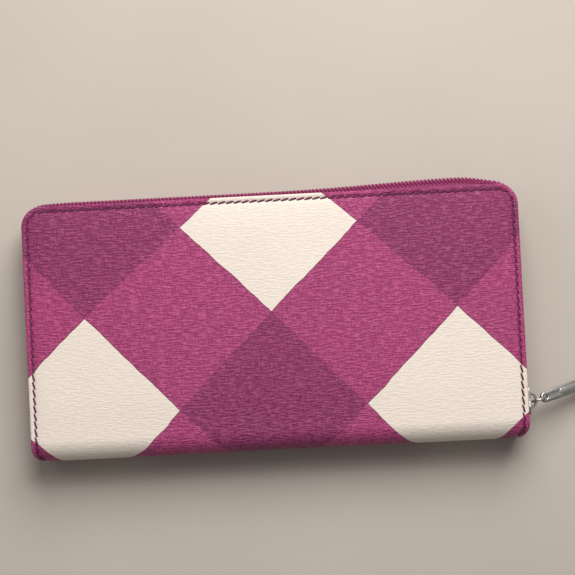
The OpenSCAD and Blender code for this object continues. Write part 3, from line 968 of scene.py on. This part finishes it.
class EdgeLine:
    """A U with two round corners, walked from its lower right end to its lower left end."""

    def __init__(self, half, high, radius, low):
        self.half, self.high, self.radius, self.low = half, high, radius, low
        self.side = high - radius - low
        self.bend = radius * math.pi / 2
        self.length = 2 * (self.side + self.bend + half - radius)

    def walk(self, step):
        count = max(1, int(round(self.length / step)))
        return (np.arange(count) + 0.5) * self.length / count

    def ends(self, step):
        return np.linspace(0, self.length, int(round(self.length / step)) + 1)

    def at(self, gone):
        """Place, outward direction and distance from the nearer lower end at each distance gone."""
        right = np.where(gone <= self.length / 2, 1, -1)
        near = np.minimum(gone, self.length - gone)
        angle = np.clip((near - self.side) / self.radius, 0, math.pi / 2)
        out = np.column_stack([right * np.cos(angle), np.sin(angle)])
        centre_x = self.half - self.radius - np.clip(near - self.side - self.bend, 0, None)
        centre_y = np.minimum(self.low + near, self.high - self.radius)
        return np.column_stack([right * centre_x, centre_y]) + self.radius * out, out, near


def forward(out):
    """The way along a line at each point, from its outward directions."""
    return np.column_stack([-out[:, 1], out[:, 0], np.zeros(len(out))])


def flip_front(points, front):
    """The back half's points, turned over about the wallet's middle plane for the front half."""
    points = np.array(points, float)
    if front:
        points[..., 2] = BODY_T - points[..., 2]
    return points


def stitch_model(settings):
    """One stitch: a rounded length of thread whose ends sink into their holes."""
    stitch = capsule(STITCH_LENGTH, settings.thickness, settings.thickness * 0.9)
    points = read_points(stitch)
    points[:, 2] -= (points[:, 0] / STITCH_LENGTH * 2) ** 4 * settings.thickness * 0.3
    write_points(stitch, points)
    return stitch


def stitch_row(places, along, normals, slant):
    """The axes and places of a row of slanted stitches."""
    side = np.cross(normals, along)
    first = unit(along * math.cos(slant) + side * math.sin(slant))
    third = unit(normals)
    return list(np.stack([first, np.cross(third, first), third], axis=-1)), list(places)


def straight_row(start, end, normal, settings):
    """A straight row of stitches between two points."""
    start, end, normal = (np.array(p, float) for p in (start, end, normal))
    count = max(1, int(np.linalg.norm(end - start) / settings.pitch))
    shares = (np.arange(count) + 0.5) / count
    places = start + shares[:, None] * (end - start)
    along = np.tile(unit(end - start), (count, 1))
    return stitch_row(places, along, np.tile(normal, (count, 1)), settings.slant)


def u_row(line, height, up, settings):
    """A row of stitches along an edge line on a level face."""
    base, out, _ = line.at(line.walk(settings.pitch))
    count = len(base)
    places = np.column_stack([base, np.full(count, height)])
    return stitch_row(places, forward(out), np.tile((0, 0, up), (count, 1)) * 1.0, settings.slant)


def sew(name, rows, body, settings, *nodes, fold=None):
    """Lays one stitch at each place of the rows and hands the whole seam over."""
    turns = [turn for row in rows for turn in row[0]]
    places = [place for row in rows for place in row[1]]
    stitch = stitch_model(settings)
    sunk = np.abs(read_points(stitch)[:, 0]) / STITCH_SHOWN
    piece = repeat(name, stitch, turns, places)
    mark(piece, "sunk", np.tile(sunk, len(places)))
    return hand_over(piece, body, "thread", *nodes, fold=fold)


class WALLET_OT_stitching(bpy.types.Operator):
    """Sews each cover's edge with slanted stitches, outside and inside"""
    bl_idname = "wallet.stitching"
    bl_label = "Edge stitching"

    def execute(self, context):
        settings = context.scene.wallet_thread
        line = EdgeLine(HALF_W - settings.inset, FREE_Y - settings.inset, CORNER_R - settings.inset,
                        BEND_END + 2.2 * MM)
        sunk = VALLEY + settings.thickness * 0.22
        gone = line.walk(settings.pitch)
        place, out, _ = line.at(gone)
        for side, back, fold in COVER_SIDES:
            def on(shift, height):
                x = place[:, 0] - out[:, 1] * shift
                v = place[:, 1] + out[:, 0] * shift
                return on_shell(x - np.sign(x) * spine_narrowing(v), v, height, back)
            here = on(0, sunk)
            along = unit(on(0.1 * MM, sunk) - here)
            normal = unit(on(0, sunk + 0.1 * MM) - here)
            rows = [stitch_row(here, along, normal, settings.slant)]
            inner = EdgeLine(HALF_W - settings.inset, FREE_Y - settings.inset, CORNER_R - settings.inset,
                             BEND_Y + 1.5 * MM)
            level = INNER_Z - 0.1 * MM if not back else BODY_T - INNER_Z + 0.1 * MM
            rows.append(u_row(inner, level, 1 if back else -1, settings))
            sew(f"{side}_edge_stitches", rows, (f"{side}_half", "spine"), settings,
                f"{side}_seam_thread", fold=fold)
        return {"FINISHED"}


# The zip


def zip_bulge(near, x, settings):
    """How far the tape stands past the covers' edge, as it is along the zip from its nearer end."""
    past = near + ZIP_LOW - RISE_START
    spread = np.where(x < SWELL_X, SWELL_RISE, SWELL_FALL)
    swell = settings.swell * np.exp(-((x - SWELL_X) / spread) ** 2)
    swell = swell * ease((past - RISE_LENGTH / 3) / RISE_LENGTH * 2)
    return settings.side_bulge + (settings.top_bulge - settings.side_bulge) * ease(past / RISE_LENGTH) + swell


def zip_tilt(bulge, settings):
    """How far the coil leans back, from nothing where the zip is drawn in to the full tilt where it bulges most."""
    most = settings.top_bulge + settings.swell - settings.side_bulge
    return settings.roof * np.sqrt(np.clip((bulge - settings.side_bulge) / most, 0, 1))


ZIP_LINE = EdgeLine(HALF_W, FREE_Y, CORNER_R, ZIP_LOW)


def coil_teeth(base, out, along, tilt, up, length, height, overlap, slant, longer=0.0):
    """The axes and places of one row's turns. base lies on the zip's middle under the coil, up is 1 for the front row
    and -1 for the back row, and longer is the extra share of length."""
    rise = np.array([0, 0, up * 1.0])
    lean, stand = np.cos(tilt)[:, None], np.sin(tilt)[:, None]
    longer, slant = (np.broadcast_to(a, tilt.shape)[:, None] for a in (1 + longer, slant))
    reach = rise * lean - out * stand
    face = out * lean + rise * stand
    places = base + reach * (length * longer / 2 - overlap) + face * height / 2
    first = unit(reach * np.cos(slant) - along * np.sin(slant))
    return list(np.stack([first * longer, np.cross(face, first), face], axis=-1)), list(places)


class WALLET_OT_zip_tapes(bpy.types.Operator):
    """Makes the two woven tapes that are sewn under the covers' edges and rise to the coil"""
    bl_idname = "wallet.zip_tapes"
    bl_label = "Zip tapes"

    def execute(self, context):
        settings = context.scene.wallet_zip
        place, out, near = ZIP_LINE.at(ZIP_LINE.ends(1.5 * MM))
        bulge = zip_bulge(near, place[:, 0], settings)
        tilt = zip_tilt(bulge, settings)
        low, top = 1.5 * MM, MID_Z - 0.5 * MM
        flange = np.array([-6, -4.5, -3, -1.8, -0.9, -0.35]) * MM + TAPE_TURN
        count = 15
        t = (np.arange(count) + 0.6) / (count - 0.4)
        end = bulge - 0.5 * MM * np.sin(tilt)
        rise = (end - TAPE_TURN)[:, None]
        finish = np.tan(tilt)[:, None] * (top - low) / rise
        wall = TAPE_TURN + rise * ((t**3 - 2 * t**2 + t) + (3 * t**2 - 2 * t**3) + finish * (t**3 - t**2))
        offset = np.concatenate([np.tile(flange, (len(near), 1)), wall], axis=1)
        sag = 0.12 * MM * np.sin(near * 90 + place[:, 0] * 37)[:, None] * np.concatenate(
            [0 * flange, np.sin(t * math.pi)])
        offset = offset + sag + 0.2 * MM * np.concatenate([0 * flange, np.ones(count)])
        z = np.concatenate([np.full(len(flange), low), low + (top - low) * t])
        points = np.empty((*offset.shape, 3))
        points[..., :2] = place[:, None] + out[:, None] * offset[..., None]
        points[..., 2] = z
        width = np.concatenate([[0], np.cumsum(np.hypot(np.diff(offset[0]), np.diff(z)))])
        flat = np.stack(np.meshgrid(width, ZIP_LINE.ends(1.5 * MM)), axis=-1)
        for side in ("back", "front"):
            piece = lay_grid(f"{side}_zip_tape", flip_front(points, side == "front"), flat)
            body, fold = ZIP_BODIES[side]
            finish_sheet(piece, read_points(piece) * (1, 1, 0), 0.45 * MM, body, "zip_tape", f"zip_tape_{side}",
                         fold=fold)
        return {"FINISHED"}


class WALLET_OT_zip_coils(bpy.types.Operator):
    """Makes the two interlocking rows of nylon coil, turn by turn"""
    bl_idname = "wallet.zip_coils"
    bl_label = "Zip coils"

    def execute(self, context):
        settings = context.scene.wallet_zip
        for side, up in (("back", -1), ("front", 1)):
            gone = ZIP_LINE.walk(settings.pitch) + up * settings.pitch / 4
            place, out, near = ZIP_LINE.at(gone)
            bulge = zip_bulge(near, place[:, 0], settings)
            count = len(place)
            flat_out = np.column_stack([out, np.zeros(count)])
            base = np.column_stack([place, np.full(count, MID_Z)]) + flat_out * (bulge + 0.36 * MM)[:, None]
            tilt = zip_tilt(bulge, settings)
            share = tilt / settings.roof
            turns, places = coil_teeth(base, flat_out, forward(out), tilt, up, TOOTH_LENGTH, TOOTH_HEIGHT, 0.2 * MM,
                                       math.radians(8) + math.radians(24) * share, 0.9 * share)
            tooth = capsule(TOOTH_LENGTH, settings.pitch * 0.47, TOOTH_HEIGHT)
            piece = repeat(f"{side}_zip_coil", tooth, turns, places)
            body, fold = ZIP_BODIES[side]
            hand_over(piece, body, "zip_coil", f"zip_coil_{side}", fold=fold)
        return {"FINISHED"}


# Sizes of the two sliders, in millimetres. low_top and up_low are the inner faces of the lower and the upper plate,
# post is the wedge's width, and eye is the height left free under the arch.
ZIP_SLIDER = dict(length=11, width=8, low_width=6.6, plate=0.9, low_top=-0.55, up_low=1.85, lip=1.2, post=0.9,
                  arch=3, arch_width=1.6, eye=2)
COIN_SLIDER = dict(length=8, width=6.4, low_width=4.4, plate=0.8, low_top=-0.5, up_low=1.7, lip=0.9, post=0.7,
                   arch=2.2, arch_width=1.6, eye=1.3)


def slider(name, sizes):
    """A zip slider along X with Z up: two plates, side lips, the wedge between the rows and the arch for the pull."""
    (length, width, low_width, plate, low_top, up_low, lip, post, arch, arch_width,
     eye) = (size * MM for size in sizes.values())
    half = length / 2
    up_top = up_low + plate
    upper = pressed_plate("upper_plate", rounded([
        (-half, -width * 0.37), (-half * 0.2, -width * 0.43), (half * 0.45, -width / 2), (half, -width * 0.43),
        (half, width * 0.43), (half * 0.45, width / 2), (-half * 0.2, width * 0.43), (-half, width * 0.37),
    ], [plate * 0.9, length * 0.1, length * 0.14, plate * 1.4, plate * 1.4, length * 0.14, length * 0.1, plate * 0.9]),
        plate, plate * 0.28)
    upper.location.z = up_low + plate / 2
    lower = pressed_plate("lower_plate", rounded([
        (-half, -low_width / 2), (half, -low_width / 2), (half, low_width / 2), (-half, low_width / 2),
    ], plate * 1.3), plate, plate * 0.28)
    lower.location.z = low_top - plate / 2
    parts = [upper, lower]
    for side in (-1, 1):
        near, far = side * (width / 2 - lip - width * 0.03), side * (width / 2 - width * 0.045)
        parts.append(soft_block(
            (-half * 0.8, min(near, far), low_top + 2 * (up_low - low_top) * 0.23),
            (half * 0.86, max(near, far), up_low + plate * 0.6), lip * 0.3))
    parts.append(soft_block((half - 3 * MM, -post / 2, low_top - plate / 2),
                            (half - 0.4 * MM, post / 2, up_low + plate / 2), post * 0.3))
    wire = (arch - eye) / 2
    turns = np.linspace(0, math.pi, 25)
    feet = [(length * 0.25, up_low + plate * 0.4)]
    line = [(length * 0.25 * math.cos(a), up_top + (arch - wire) * max(math.sin(a), 0) ** 0.6) for a in turns]
    parts.append(strap("arch", feet + line + [(-x, z) for x, z in feet], wire, arch_width / 2 / wire))
    for part in parts:
        settle(part)
    return join(name, parts)


def place_by(piece, matrix):
    piece.matrix_world = matrix
    settle(piece)
    smooth(piece, 35)
    return piece


def axes(x, y, z, place):
    turn = Matrix((x, y, z)).transposed()
    return Matrix.Translation(place) @ turn.to_4x4()


def metal(piece, body, *nodes):
    return hand_over(piece, body, "polished_metal", *nodes)


def clip(name, node, body):
    """A pressed metal clip with rounded edges that fills its node's box."""
    low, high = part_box(node)
    piece = soft_block(low, high, min(high - low) * 0.28)
    piece.name = piece.data.name = name
    smooth(piece, 35)
    return metal(piece, body, node)


def joint_place(name):
    """Where the record puts a joint."""
    return Vector(next(j["pos_m"] for j in frame["record"]["behaviour"]["joints"] if j["name"] == name))


class WALLET_OT_zip_metal(bpy.types.Operator):
    """Makes the slider with its arch, the ring, the pull bar and the stops at the zip's ends"""
    bl_idname = "wallet.zip_metal"
    bl_label = "Zip slider, ring, pull and stops"

    def execute(self, context):
        low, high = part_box("zip_slider")
        tape_x = HALF_W + context.scene.wallet_zip.side_bulge
        body = slider("zip_slider_body", ZIP_SLIDER)
        place_by(body, axes((0, -1, 0), (0, 0, -1), (1, 0, 0), (tape_x, (low.y + high.y) / 2, MID_Z)))
        metal(body, "zip_slider", "zip_slider")

        hub = joint_place("ring_tilt")
        from_arch = (Matrix.Translation(hub) @ Matrix.Rotation(PULL_TURN, 4, "Z")
                     @ Matrix.Rotation(RING_DROOP, 4, "Y"))
        deselect()
        bpy.ops.mesh.primitive_torus_add(
            location=(RING_R - RING_GRIP, 0, 0), rotation=(math.pi / 2, 0, 0), major_radius=RING_R,
            minor_radius=RING_WIRE_R, major_segments=48, minor_segments=14)
        ring = bpy.context.object
        settle(ring)
        ring.name = ring.data.name = "split_ring"
        place_by(ring, from_arch)
        metal(ring, "pull_ring", "pull_ring")

        hook = Matrix.Translation((2 * RING_R - RING_GRIP, 0, 0))
        droop = Matrix.Rotation(PULL_DROOP - RING_DROOP, 4, "Y")
        head, half, tip = 2.0 * MM, 2.4 * MM, 31.6 * MM
        outline = rounded([
            (-head, -head * 1.1), (1.2 * head, -head * 1.1), (2 * head, -half), (tip + half, -half),
            (tip + half, half), (2 * head, half), (1.2 * head, head * 1.1), (-head, head * 1.1),
        ], [head, 4 * MM, 4 * MM, half * 0.9, half * 0.9, 4 * MM, 4 * MM, head], 8)
        bar = pressed_plate("bar", outline, 1.6 * MM, 0.4 * MM, holes=[circle(0.8 * MM)])
        ridge = pressed_plate("ridge", rounded([
            (3.2 * head, -1.35 * MM), (tip + 0.8 * MM, -1.35 * MM),
            (tip + 0.8 * MM, 1.35 * MM), (3.2 * head, 1.35 * MM),
        ], 1.3 * MM, 8), 1.9 * MM, 0.25 * MM)
        pull = join("zip_pull_bar", [bar, ridge])
        place_by(pull, from_arch @ hook @ droop)
        metal(pull, "zip_pull", "zip_pull")

        clip("zip_top_stop_back_clip", "zip_top_stop_back", "back_half")
        clip("zip_top_stop_front_clip", "zip_top_stop_front", "front_half")
        clip("zip_bottom_stop_clip", "zip_bottom_stop", "back_half")
        return {"FINISHED"}


# Inside

# Inset and height of the lines of a turned edge: the covers' lining, and a panel of the coin pocket
LINING_EDGE = in_metres([
    (1.2, 0.0), (0.5, 0.0), (0.15, 0.08), (0.0, 0.26), (0.1, 0.44), (0.3, 0.52), (0.6, 0.5), (0.85, 0.46),
    (1.2, 0.5), (1.8, 0.56), (3.0, 0.6), (5.8, 0.6),
])
PANEL_EDGE = in_metres([
    (1.4, 0.0), (0.5, 0.0), (0.12, 0.1), (0.0, 0.35), (0.08, 0.62), (0.3, 0.8), (0.7, 0.86), (1.1, 0.84),
    (1.5, 0.74), (1.85, 0.66), (2.2, 0.7), (2.6, 0.82), (2.9, 0.87),
])

# How far round the spine the covers' lining goes
LINING_TURN = math.radians(58)


def leather_waves(x, v, ring):
    """The slight unevenness of a thin leather panel inside its turned edge."""
    return 0.35 * waves(x, v, 1.3) * (ring <= 3)


def leather_sheet(name, half, high, radius, low, level, up, profile, thickness, body, node):
    """A level leather panel with two round corners and turned edges. level is its hidden side and up the way its face
    looks."""
    x, v, ring = edged_sheet(profile, low, 2.4 * MM, half=half, high=high, radius=radius)
    height = raised(profile, ring) + leather_waves(x, v, ring)
    flat = np.stack([x, v], axis=-1)
    piece = lay_grid(name, np.dstack([flat, level + up * height]), flat)
    return finish_sheet(piece, (0, 0, up), thickness, body, "inner_leather", node)


class WALLET_OT_inner_leather(bpy.types.Operator):
    """Lines each cover and its bend with plain leather, and finishes the boards between"""
    bl_idname = "wallet.inner_leather"
    bl_label = "Inner leather"

    def execute(self, context):
        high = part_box("front_inner_leather")[1]
        x, v, ring = edged_sheet(LINING_EDGE, BEND_Y - BEND_R * LINING_TURN, 2.4 * MM, half=high.x, high=high.y,
                                 radius=CORNER_R - (HALF_W - high.x))
        height = raised(LINING_EDGE, ring) + leather_waves(x, v, ring)
        ends = ((0, BEND_Y, INNER_Z), (0, SPINE_Y + 2.4 * MM, BODY_T - BEND_R))
        for side, back in (("back", True), ("front", False)):
            piece = lay_grid(f"{side}_cover_lining", on_shell(x, v, high.z - UNDER_Z - height, back),
                             np.stack([x, v], axis=-1))
            start, end = ((0, y, BODY_T - z if back else z) for _, y, z in ends)
            finish_sheet(piece, (0, 0, 1 if back else -1), LINING_SKIN, (f"{side}_half", "spine"), "inner_leather",
                         f"{side}_inner_leather", fold=dict(start=start, end=end))
            dress(f"{side}_cover_board", "stiffening_board")
        return {"FINISHED"}


# Distance from a slot's mouth and height of each line of its rolled edge
MOUTH = in_metres([
    (1.5, 0.0), (0.4, 0.0), (0.1, 0.06), (0.0, 0.22), (0.06, 0.42), (0.25, 0.56), (0.55, 0.62), (0.95, 0.58),
    (1.25, 0.49), (1.45, 0.38), (1.6, 0.34), (1.75, 0.38), (1.95, 0.45), (2.6, 0.46),
])
SLOT_SEAM = 1.6 * MM
SLOT_SEAM_WIDTH = 0.9 * MM
THUMB_DIP = 2.2 * MM


class WALLET_OT_card_slots(bpy.types.Operator):
    """Makes the stepped card slots in both covers, with thumb curves, rolled mouths and their seams"""
    bl_idname = "wallet.card_slots"
    bl_label = "Card slots"

    def execute(self, context):
        settings = context.scene.wallet_thread
        for side in ("back", "front"):
            front = side == "front"
            up = -1 if front else 1
            rows = []
            for row in range(1, 5):
                low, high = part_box(f"{side}_card_slot_{row}")
                level = high.z if front else low.z
                self.slot(f"{side}_card_layer_{row}", low, high, level, up, f"{side}_half",
                          f"{side}_card_slot_{row}", row)
                end = high.y - 11 * MM + 1 * MM if row < 4 else low.y + 1 * MM
                face = level + up * 0.5 * MM
                for x in (0, low.x + SLOT_SEAM, high.x - SLOT_SEAM):
                    rows.append(straight_row((x, end, face), (x, high.y - 0.3 * MM, face), (0, 0, up), settings))
            sew(f"{side}_card_stitches", rows, f"{side}_half", settings, f"{side}_card_seam_thread")
        return {"FINISHED"}

    def slot(self, name, low, high, level, up, body, node, row):
        x = sheet_rows(low.x, high.x, 2.0 * MM)
        reach = high.y - low.y
        rest = np.linspace(MOUTH[-1][0], reach - 2.2 * MM, max(3, int(reach / (3.2 * MM))))[1:]
        away = np.concatenate([[distance for distance, _ in MOUTH], rest])
        height = np.concatenate([[height for _, height in MOUTH], np.full(len(rest), 0.45 * MM)])
        off = (np.abs(x) - high.x / 2) / (high.x / 5)
        dip = THUMB_DIP * np.cos(np.clip(off, -1, 1) * math.pi / 2) ** 2
        gx, gd = np.meshgrid(x, away)
        y = np.maximum(high.y - gd - dip * (1 - gd / reach), low.y)
        seam = 0.16 * MM * (np.exp(-(gx / SLOT_SEAM_WIDTH) ** 2)
                            + np.exp(-((high.x - SLOT_SEAM - np.abs(gx)) / SLOT_SEAM_WIDTH) ** 2))
        lift = height[:, None] - seam * (height[:, None] > 0.3 * MM)
        lift = lift + 0.25 * waves(gx, gd, row * 1.7) * (gd > 3 * MM)
        piece = lay_grid(name, np.stack([gx, y, level + up * lift], axis=-1), np.stack([gx, gd], axis=-1))
        finish_sheet(piece, (0, 0, up), SLOT_SKIN, body, "inner_leather", node)


class WALLET_OT_gussets(bpy.types.Operator):
    """Makes the pleated leather gussets between the covers and the coin pocket"""
    bl_idname = "wallet.gussets"
    bl_label = "Gussets"

    def execute(self, context):
        for side in ("back", "front"):
            front = side == "front"
            for hand, sign in (("left", -1), ("right", 1)):
                self.gusset(f"{side}_gusset_{hand}", f"gusset_{side}_{hand}", front, sign)
        return {"FINISHED"}

    def leaf(self, start, end, count):
        """Points from the start to the end of one straight leaf of the pleat."""
        return [tuple(np.array(start) + (np.array(end) - start) * t) for t in np.linspace(0, 1, count)]

    def gusset(self, name, node, front, sign):
        low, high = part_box(node)
        bottom, top = (BODY_T - high.z, BODY_T - low.z) if front else (low.z, high.z)
        outer, inner = max(abs(low.x), abs(high.x)), min(abs(low.x), abs(high.x))
        middle = (bottom + top) / 2
        leaf = 0.25 * MM
        ends = [(outer, bottom + leaf), (inner + 1.4 * MM, middle - 0.32 * MM), (inner + 1.4 * MM, middle + 0.32 * MM),
                (outer - 9 * MM, top - leaf)]
        first = self.leaf(ends[0], ends[1], 16)
        bend = [(inner + 1.4 * MM - 1.1 * MM * math.cos(a), middle + 0.32 * MM * math.sin(a))
                for a in np.linspace(-math.pi / 2, math.pi / 2, 7)][1:-1]
        last = self.leaf(ends[2], ends[3], 13)
        profile = np.array(first + bend + last)
        y = sheet_rows(high.y, low.y, 2.5 * MM)
        gy = across(profile, y)
        ripple = 0.1 * MM * np.sin(gy * 210 + profile[:, 0] * 60)
        points = np.stack([sign * profile[:, 0] + 0 * gy, gy, profile[:, 1] + ripple], axis=-1)
        piece = lay_grid(name, flip_front(points, front))
        apply_modifier(piece, "SOLIDIFY", thickness=0.4 * MM, offset=0, use_rim=True)
        apply_modifier(piece, "BEVEL", width=0.08 * MM, segments=1, limit_method="ANGLE",
                       angle_limit=math.radians(60))
        smooth(piece, 50)
        start, end = ((0, 0, BODY_T - z if front else z) for z in (bottom, top))
        half = "front_half" if front else "back_half"
        hand_over(piece, (half, "spine"), "inner_leather", node, fold=dict(start=start, end=end))


class WALLET_OT_spine_lining(bpy.types.Operator):
    """Lines the inside of the spine with twill"""
    bl_idname = "wallet.spine_lining"
    bl_label = "Spine lining"

    def execute(self, context):
        low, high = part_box("spine_lining")
        radius = BEND_R - LEATHER_T - 0.05 * MM - 0.6 * MM
        turns = np.linspace(math.radians(46), math.radians(90), 10)
        lower = [(BEND_Y - radius * math.sin(a), BEND_R - radius * math.cos(a)) for a in turns]
        line = np.array(lower + [(y, BODY_T - z) for y, z in lower[::-1]])
        x = sheet_rows(low.x, high.x, 4 * MM)
        gx = across(line, x)
        soft = 0.06 * MM * np.sin(gx * 160 + line[:, 1] * 900)
        points = np.stack([gx, line[:, 0] + soft + 0.06 * MM + 0 * gx, line[:, 1] + 0 * gx], axis=-1)
        run = run_of(line)
        piece = lay_grid("spine_twill", points, np.stack([gx, run + 0 * gx], axis=-1))
        finish_sheet(piece, (0, 1, 0), 0.5 * MM, "spine", "lining_textile", "spine_lining")
        return {"FINISHED"}


class WALLET_OT_coin_pocket(bpy.types.Operator):
    """Makes the coin pocket: two stitched panels, its twill bag and the strips that close its sides"""
    bl_idname = "wallet.coin_pocket"
    bl_label = "Coin pocket"

    def execute(self, context):
        settings = context.scene.wallet_thread
        low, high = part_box("coin_panel_back")
        rows = []
        for side, up in (("back", -1), ("front", 1)):
            level = high.z if up < 0 else BODY_T - high.z
            leather_sheet(f"coin_panel_{side}_leather", high.x, high.y, 3 * MM, low.y, level, up, PANEL_EDGE,
                          OUTER_SKIN,
                          "spine", f"coin_panel_{side}")
            line = EdgeLine(high.x - 1.85 * MM, high.y - 1.85 * MM, 1.2 * MM, low.y + 1 * MM)
            rows.append(u_row(line, level + up * 0.78 * MM, up, settings))
        sew("coin_panel_stitches", rows, "spine", settings)
        self.bag()
        for hand, sign in (("left", -1), ("right", 1)):
            self.side_strip(f"coin_side_strip_{hand}", f"coin_side_binding_{hand}", sign)
        return {"FINISHED"}

    def bag(self):
        low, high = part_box("coin_lining")
        half = (high.z - low.z) / 2
        sides = sheet_rows(high.y, low.y + half, 4 * MM)
        down = [(y, MID_Z - half) for y in sides]
        turn = [(low.y + half - half * math.cos(a), MID_Z + half * math.sin(a))
                for a in np.linspace(-math.pi / 2, math.pi / 2, 9)][1:-1]
        line = np.array(down + turn + [(y, 2 * MID_Z - z) for y, z in down[::-1]])
        x = sheet_rows(low.x, high.x, 4 * MM)
        gx = across(line, x)
        inward = np.sign(MID_Z - line[:, 1]) * (np.abs(line[:, 1] - MID_Z) > half * 0.9)
        slack = (0.25 + 0.25 * np.sin(gx * 95 + line[:, 0] * 140)) * MM * inward
        points = np.stack([gx, line[:, 0] + 0 * gx, line[:, 1] + slack], axis=-1)
        run = run_of(line)
        piece = lay_grid("coin_bag", points, np.stack([gx, run + 0 * gx], axis=-1))
        outward = (read_points(piece) - (0, 0, MID_Z)) * (0, 0, 1)
        finish_sheet(piece, outward, LINING_SKIN, "spine", "lining_textile", "coin_lining")

    def side_strip(self, name, node, sign):
        low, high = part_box(node)
        half = (high.z - low.z) / 2
        outer, inner = max(abs(low.x), abs(high.x)), min(abs(low.x), abs(high.x))
        a = np.linspace(-math.pi / 2, math.pi / 2, 13)
        profile = np.column_stack([inner + (outer - inner) * np.cos(a) ** 0.6, MID_Z + half * np.sin(a)])
        y = sheet_rows(high.y + 3.4 * MM, low.y, 3 * MM)
        gy = across(profile, y)
        points = np.stack([sign * profile[:, 0] + 0 * gy, gy, profile[:, 1] + 0 * gy], axis=-1)
        piece = lay_grid(name, points)
        finish_sheet(piece, (sign, 0, 0), OUTER_SKIN, "spine", "inner_leather", node)


class WALLET_OT_coin_zip(bpy.types.Operator):
    """Makes the coin pocket's own zip: tapes, coil, stops, slider and pull"""
    bl_idname = "wallet.coin_zip"
    bl_label = "Coin pocket zip"

    def execute(self, context):
        coil_low, coil_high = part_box("coin_zip_coil_back")
        pitch, tooth_length, tooth_height = 1.2 * MM, 2.15 * MM, 1.1 * MM
        count = int((coil_high.x - coil_low.x) / pitch)
        for side, up in (("back", -1), ("front", 1)):
            tape_low, tape_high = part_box(f"coin_zip_tape_{side}")
            x = sheet_rows(tape_low.x, tape_high.x, 3 * MM)
            z = np.linspace(tape_low.z, tape_high.z, 6)
            gx, gz = np.meshgrid(x, z)
            y = tape_high.y - 0.02 * MM + 0.04 * MM * np.sin(gx * 240)
            tape = lay_grid(f"coin_zip_tape_{side}_weave", np.stack([gx, y, gz], axis=-1), np.stack([gz, gx], axis=-1))
            finish_sheet(tape, (0, 1, 0), 0.35 * MM, "spine", "zip_tape", f"coin_zip_tape_{side}")

            start = coil_low.x + pitch / 2 + up * pitch / 4
            places = start + pitch * np.arange(count)
            base = np.column_stack([places, np.full(count, coil_low.y), np.full(count, MID_Z)])
            out = np.tile((0.0, 1.0, 0.0), (count, 1))
            along = np.tile((1.0, 0.0, 0.0), (count, 1))
            turns, centres = coil_teeth(base, out, along, np.zeros(count), up, tooth_length, tooth_height, 0.15 * MM,
                                        math.radians(10))
            tooth = capsule(tooth_length, pitch * 0.47, tooth_height)
            coil = repeat(f"coin_zip_coil_{side}_turns", tooth, turns, centres)
            hand_over(coil, "spine", "zip_coil", f"coin_zip_coil_{side}")

        low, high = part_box("coin_zip_stops")
        stops = [soft_block((low.x, low.y, low.z), (low.x + 1.4 * MM, high.y, high.z), 0.3 * MM),
                 soft_block((high.x - 1.4 * MM, low.y, low.z), (high.x, high.y, high.z), 0.3 * MM)]
        stop = join("coin_zip_stop_clips", stops)
        smooth(stop, 35)
        metal(stop, "spine", "coin_zip_stops")

        low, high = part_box("coin_slider")
        tape_y = coil_low.y - 0.05 * MM - 0.2 * MM
        body = slider("coin_slider_body", COIN_SLIDER)
        place_by(body, axes((1, 0, 0), (0, 0, -1), (0, 1, 0), ((low.x + high.x) / 2, tape_y, MID_Z)))
        metal(body, "coin_slider", "coin_slider")

        half = 2.3 * MM
        outline = rounded([(-13 * MM, -half), (0.45 * MM, -half), (0.45 * MM, half), (-13 * MM, half)],
                          [1.6 * MM, 0.5 * MM, 0.5 * MM, 1.6 * MM])
        window = rounded([(-4 * MM, -1.5 * MM), (-0.45 * MM, -1.5 * MM), (-0.45 * MM, 1.5 * MM),
                          (-4 * MM, 1.5 * MM)], 0.45 * MM)
        tab = pressed_plate("coin_pull_tab", outline, 0.9 * MM, 0.25 * MM, holes=[window])
        place_by(tab, axes((1, 0, 0), (0, 0, 1), (0, -1, 0), joint_place("coin_pull_swing")))
        metal(tab, "coin_pull", "coin_pull")
        return {"FINISHED"}


class WALLET_PT_panel(bpy.types.Panel):
    bl_idname = "WALLET_PT_panel"
    bl_label = "Zip-around wallet"
    bl_space_type = "VIEW_3D"
    bl_region_type = "UI"
    bl_category = "Wallet"

    def draw(self, context):
        for operator, group in STEPS:
            box = self.layout.box()
            box.operator(operator.bl_idname)
            if group:
                settings = getattr(context.scene, group)
                for name in settings.__annotations__:
                    box.prop(settings, name)


GROUPS = {
    "wallet_leather": WalletLeather, "wallet_thread": WalletThread, "wallet_zip": WalletZip,
    "wallet_stage": WalletStage,
}
# The operators in their order, each with the settings shown beside it
STEPS = [
    (WALLET_OT_stage, "wallet_stage"), (WALLET_OT_covers, "wallet_leather"), (WALLET_OT_stitching, "wallet_thread"),
    (WALLET_OT_zip_tapes, "wallet_zip"), (WALLET_OT_zip_coils, None), (WALLET_OT_zip_metal, None),
    (WALLET_OT_inner_leather, None), (WALLET_OT_card_slots, None), (WALLET_OT_gussets, None),
    (WALLET_OT_spine_lining, None), (WALLET_OT_coin_pocket, None), (WALLET_OT_coin_zip, None),
]


def register():
    for kind in [*GROUPS.values(), *(operator for operator, _ in STEPS), WALLET_PT_panel]:
        bpy.utils.register_class(kind)
    for name, group in GROUPS.items():
        setattr(bpy.types.Scene, name, PointerProperty(type=group))


def unregister():
    for name in GROUPS:
        delattr(bpy.types.Scene, name)
    for kind in [WALLET_PT_panel, *(operator for operator, _ in STEPS), *GROUPS.values()]:
        bpy.utils.unregister_class(kind)


def main():
    register()
    for operator, _ in STEPS:
        group, name = operator.bl_idname.split(".")
        getattr(getattr(bpy.ops, group), name)()


if __name__ == "__main__":
    main()
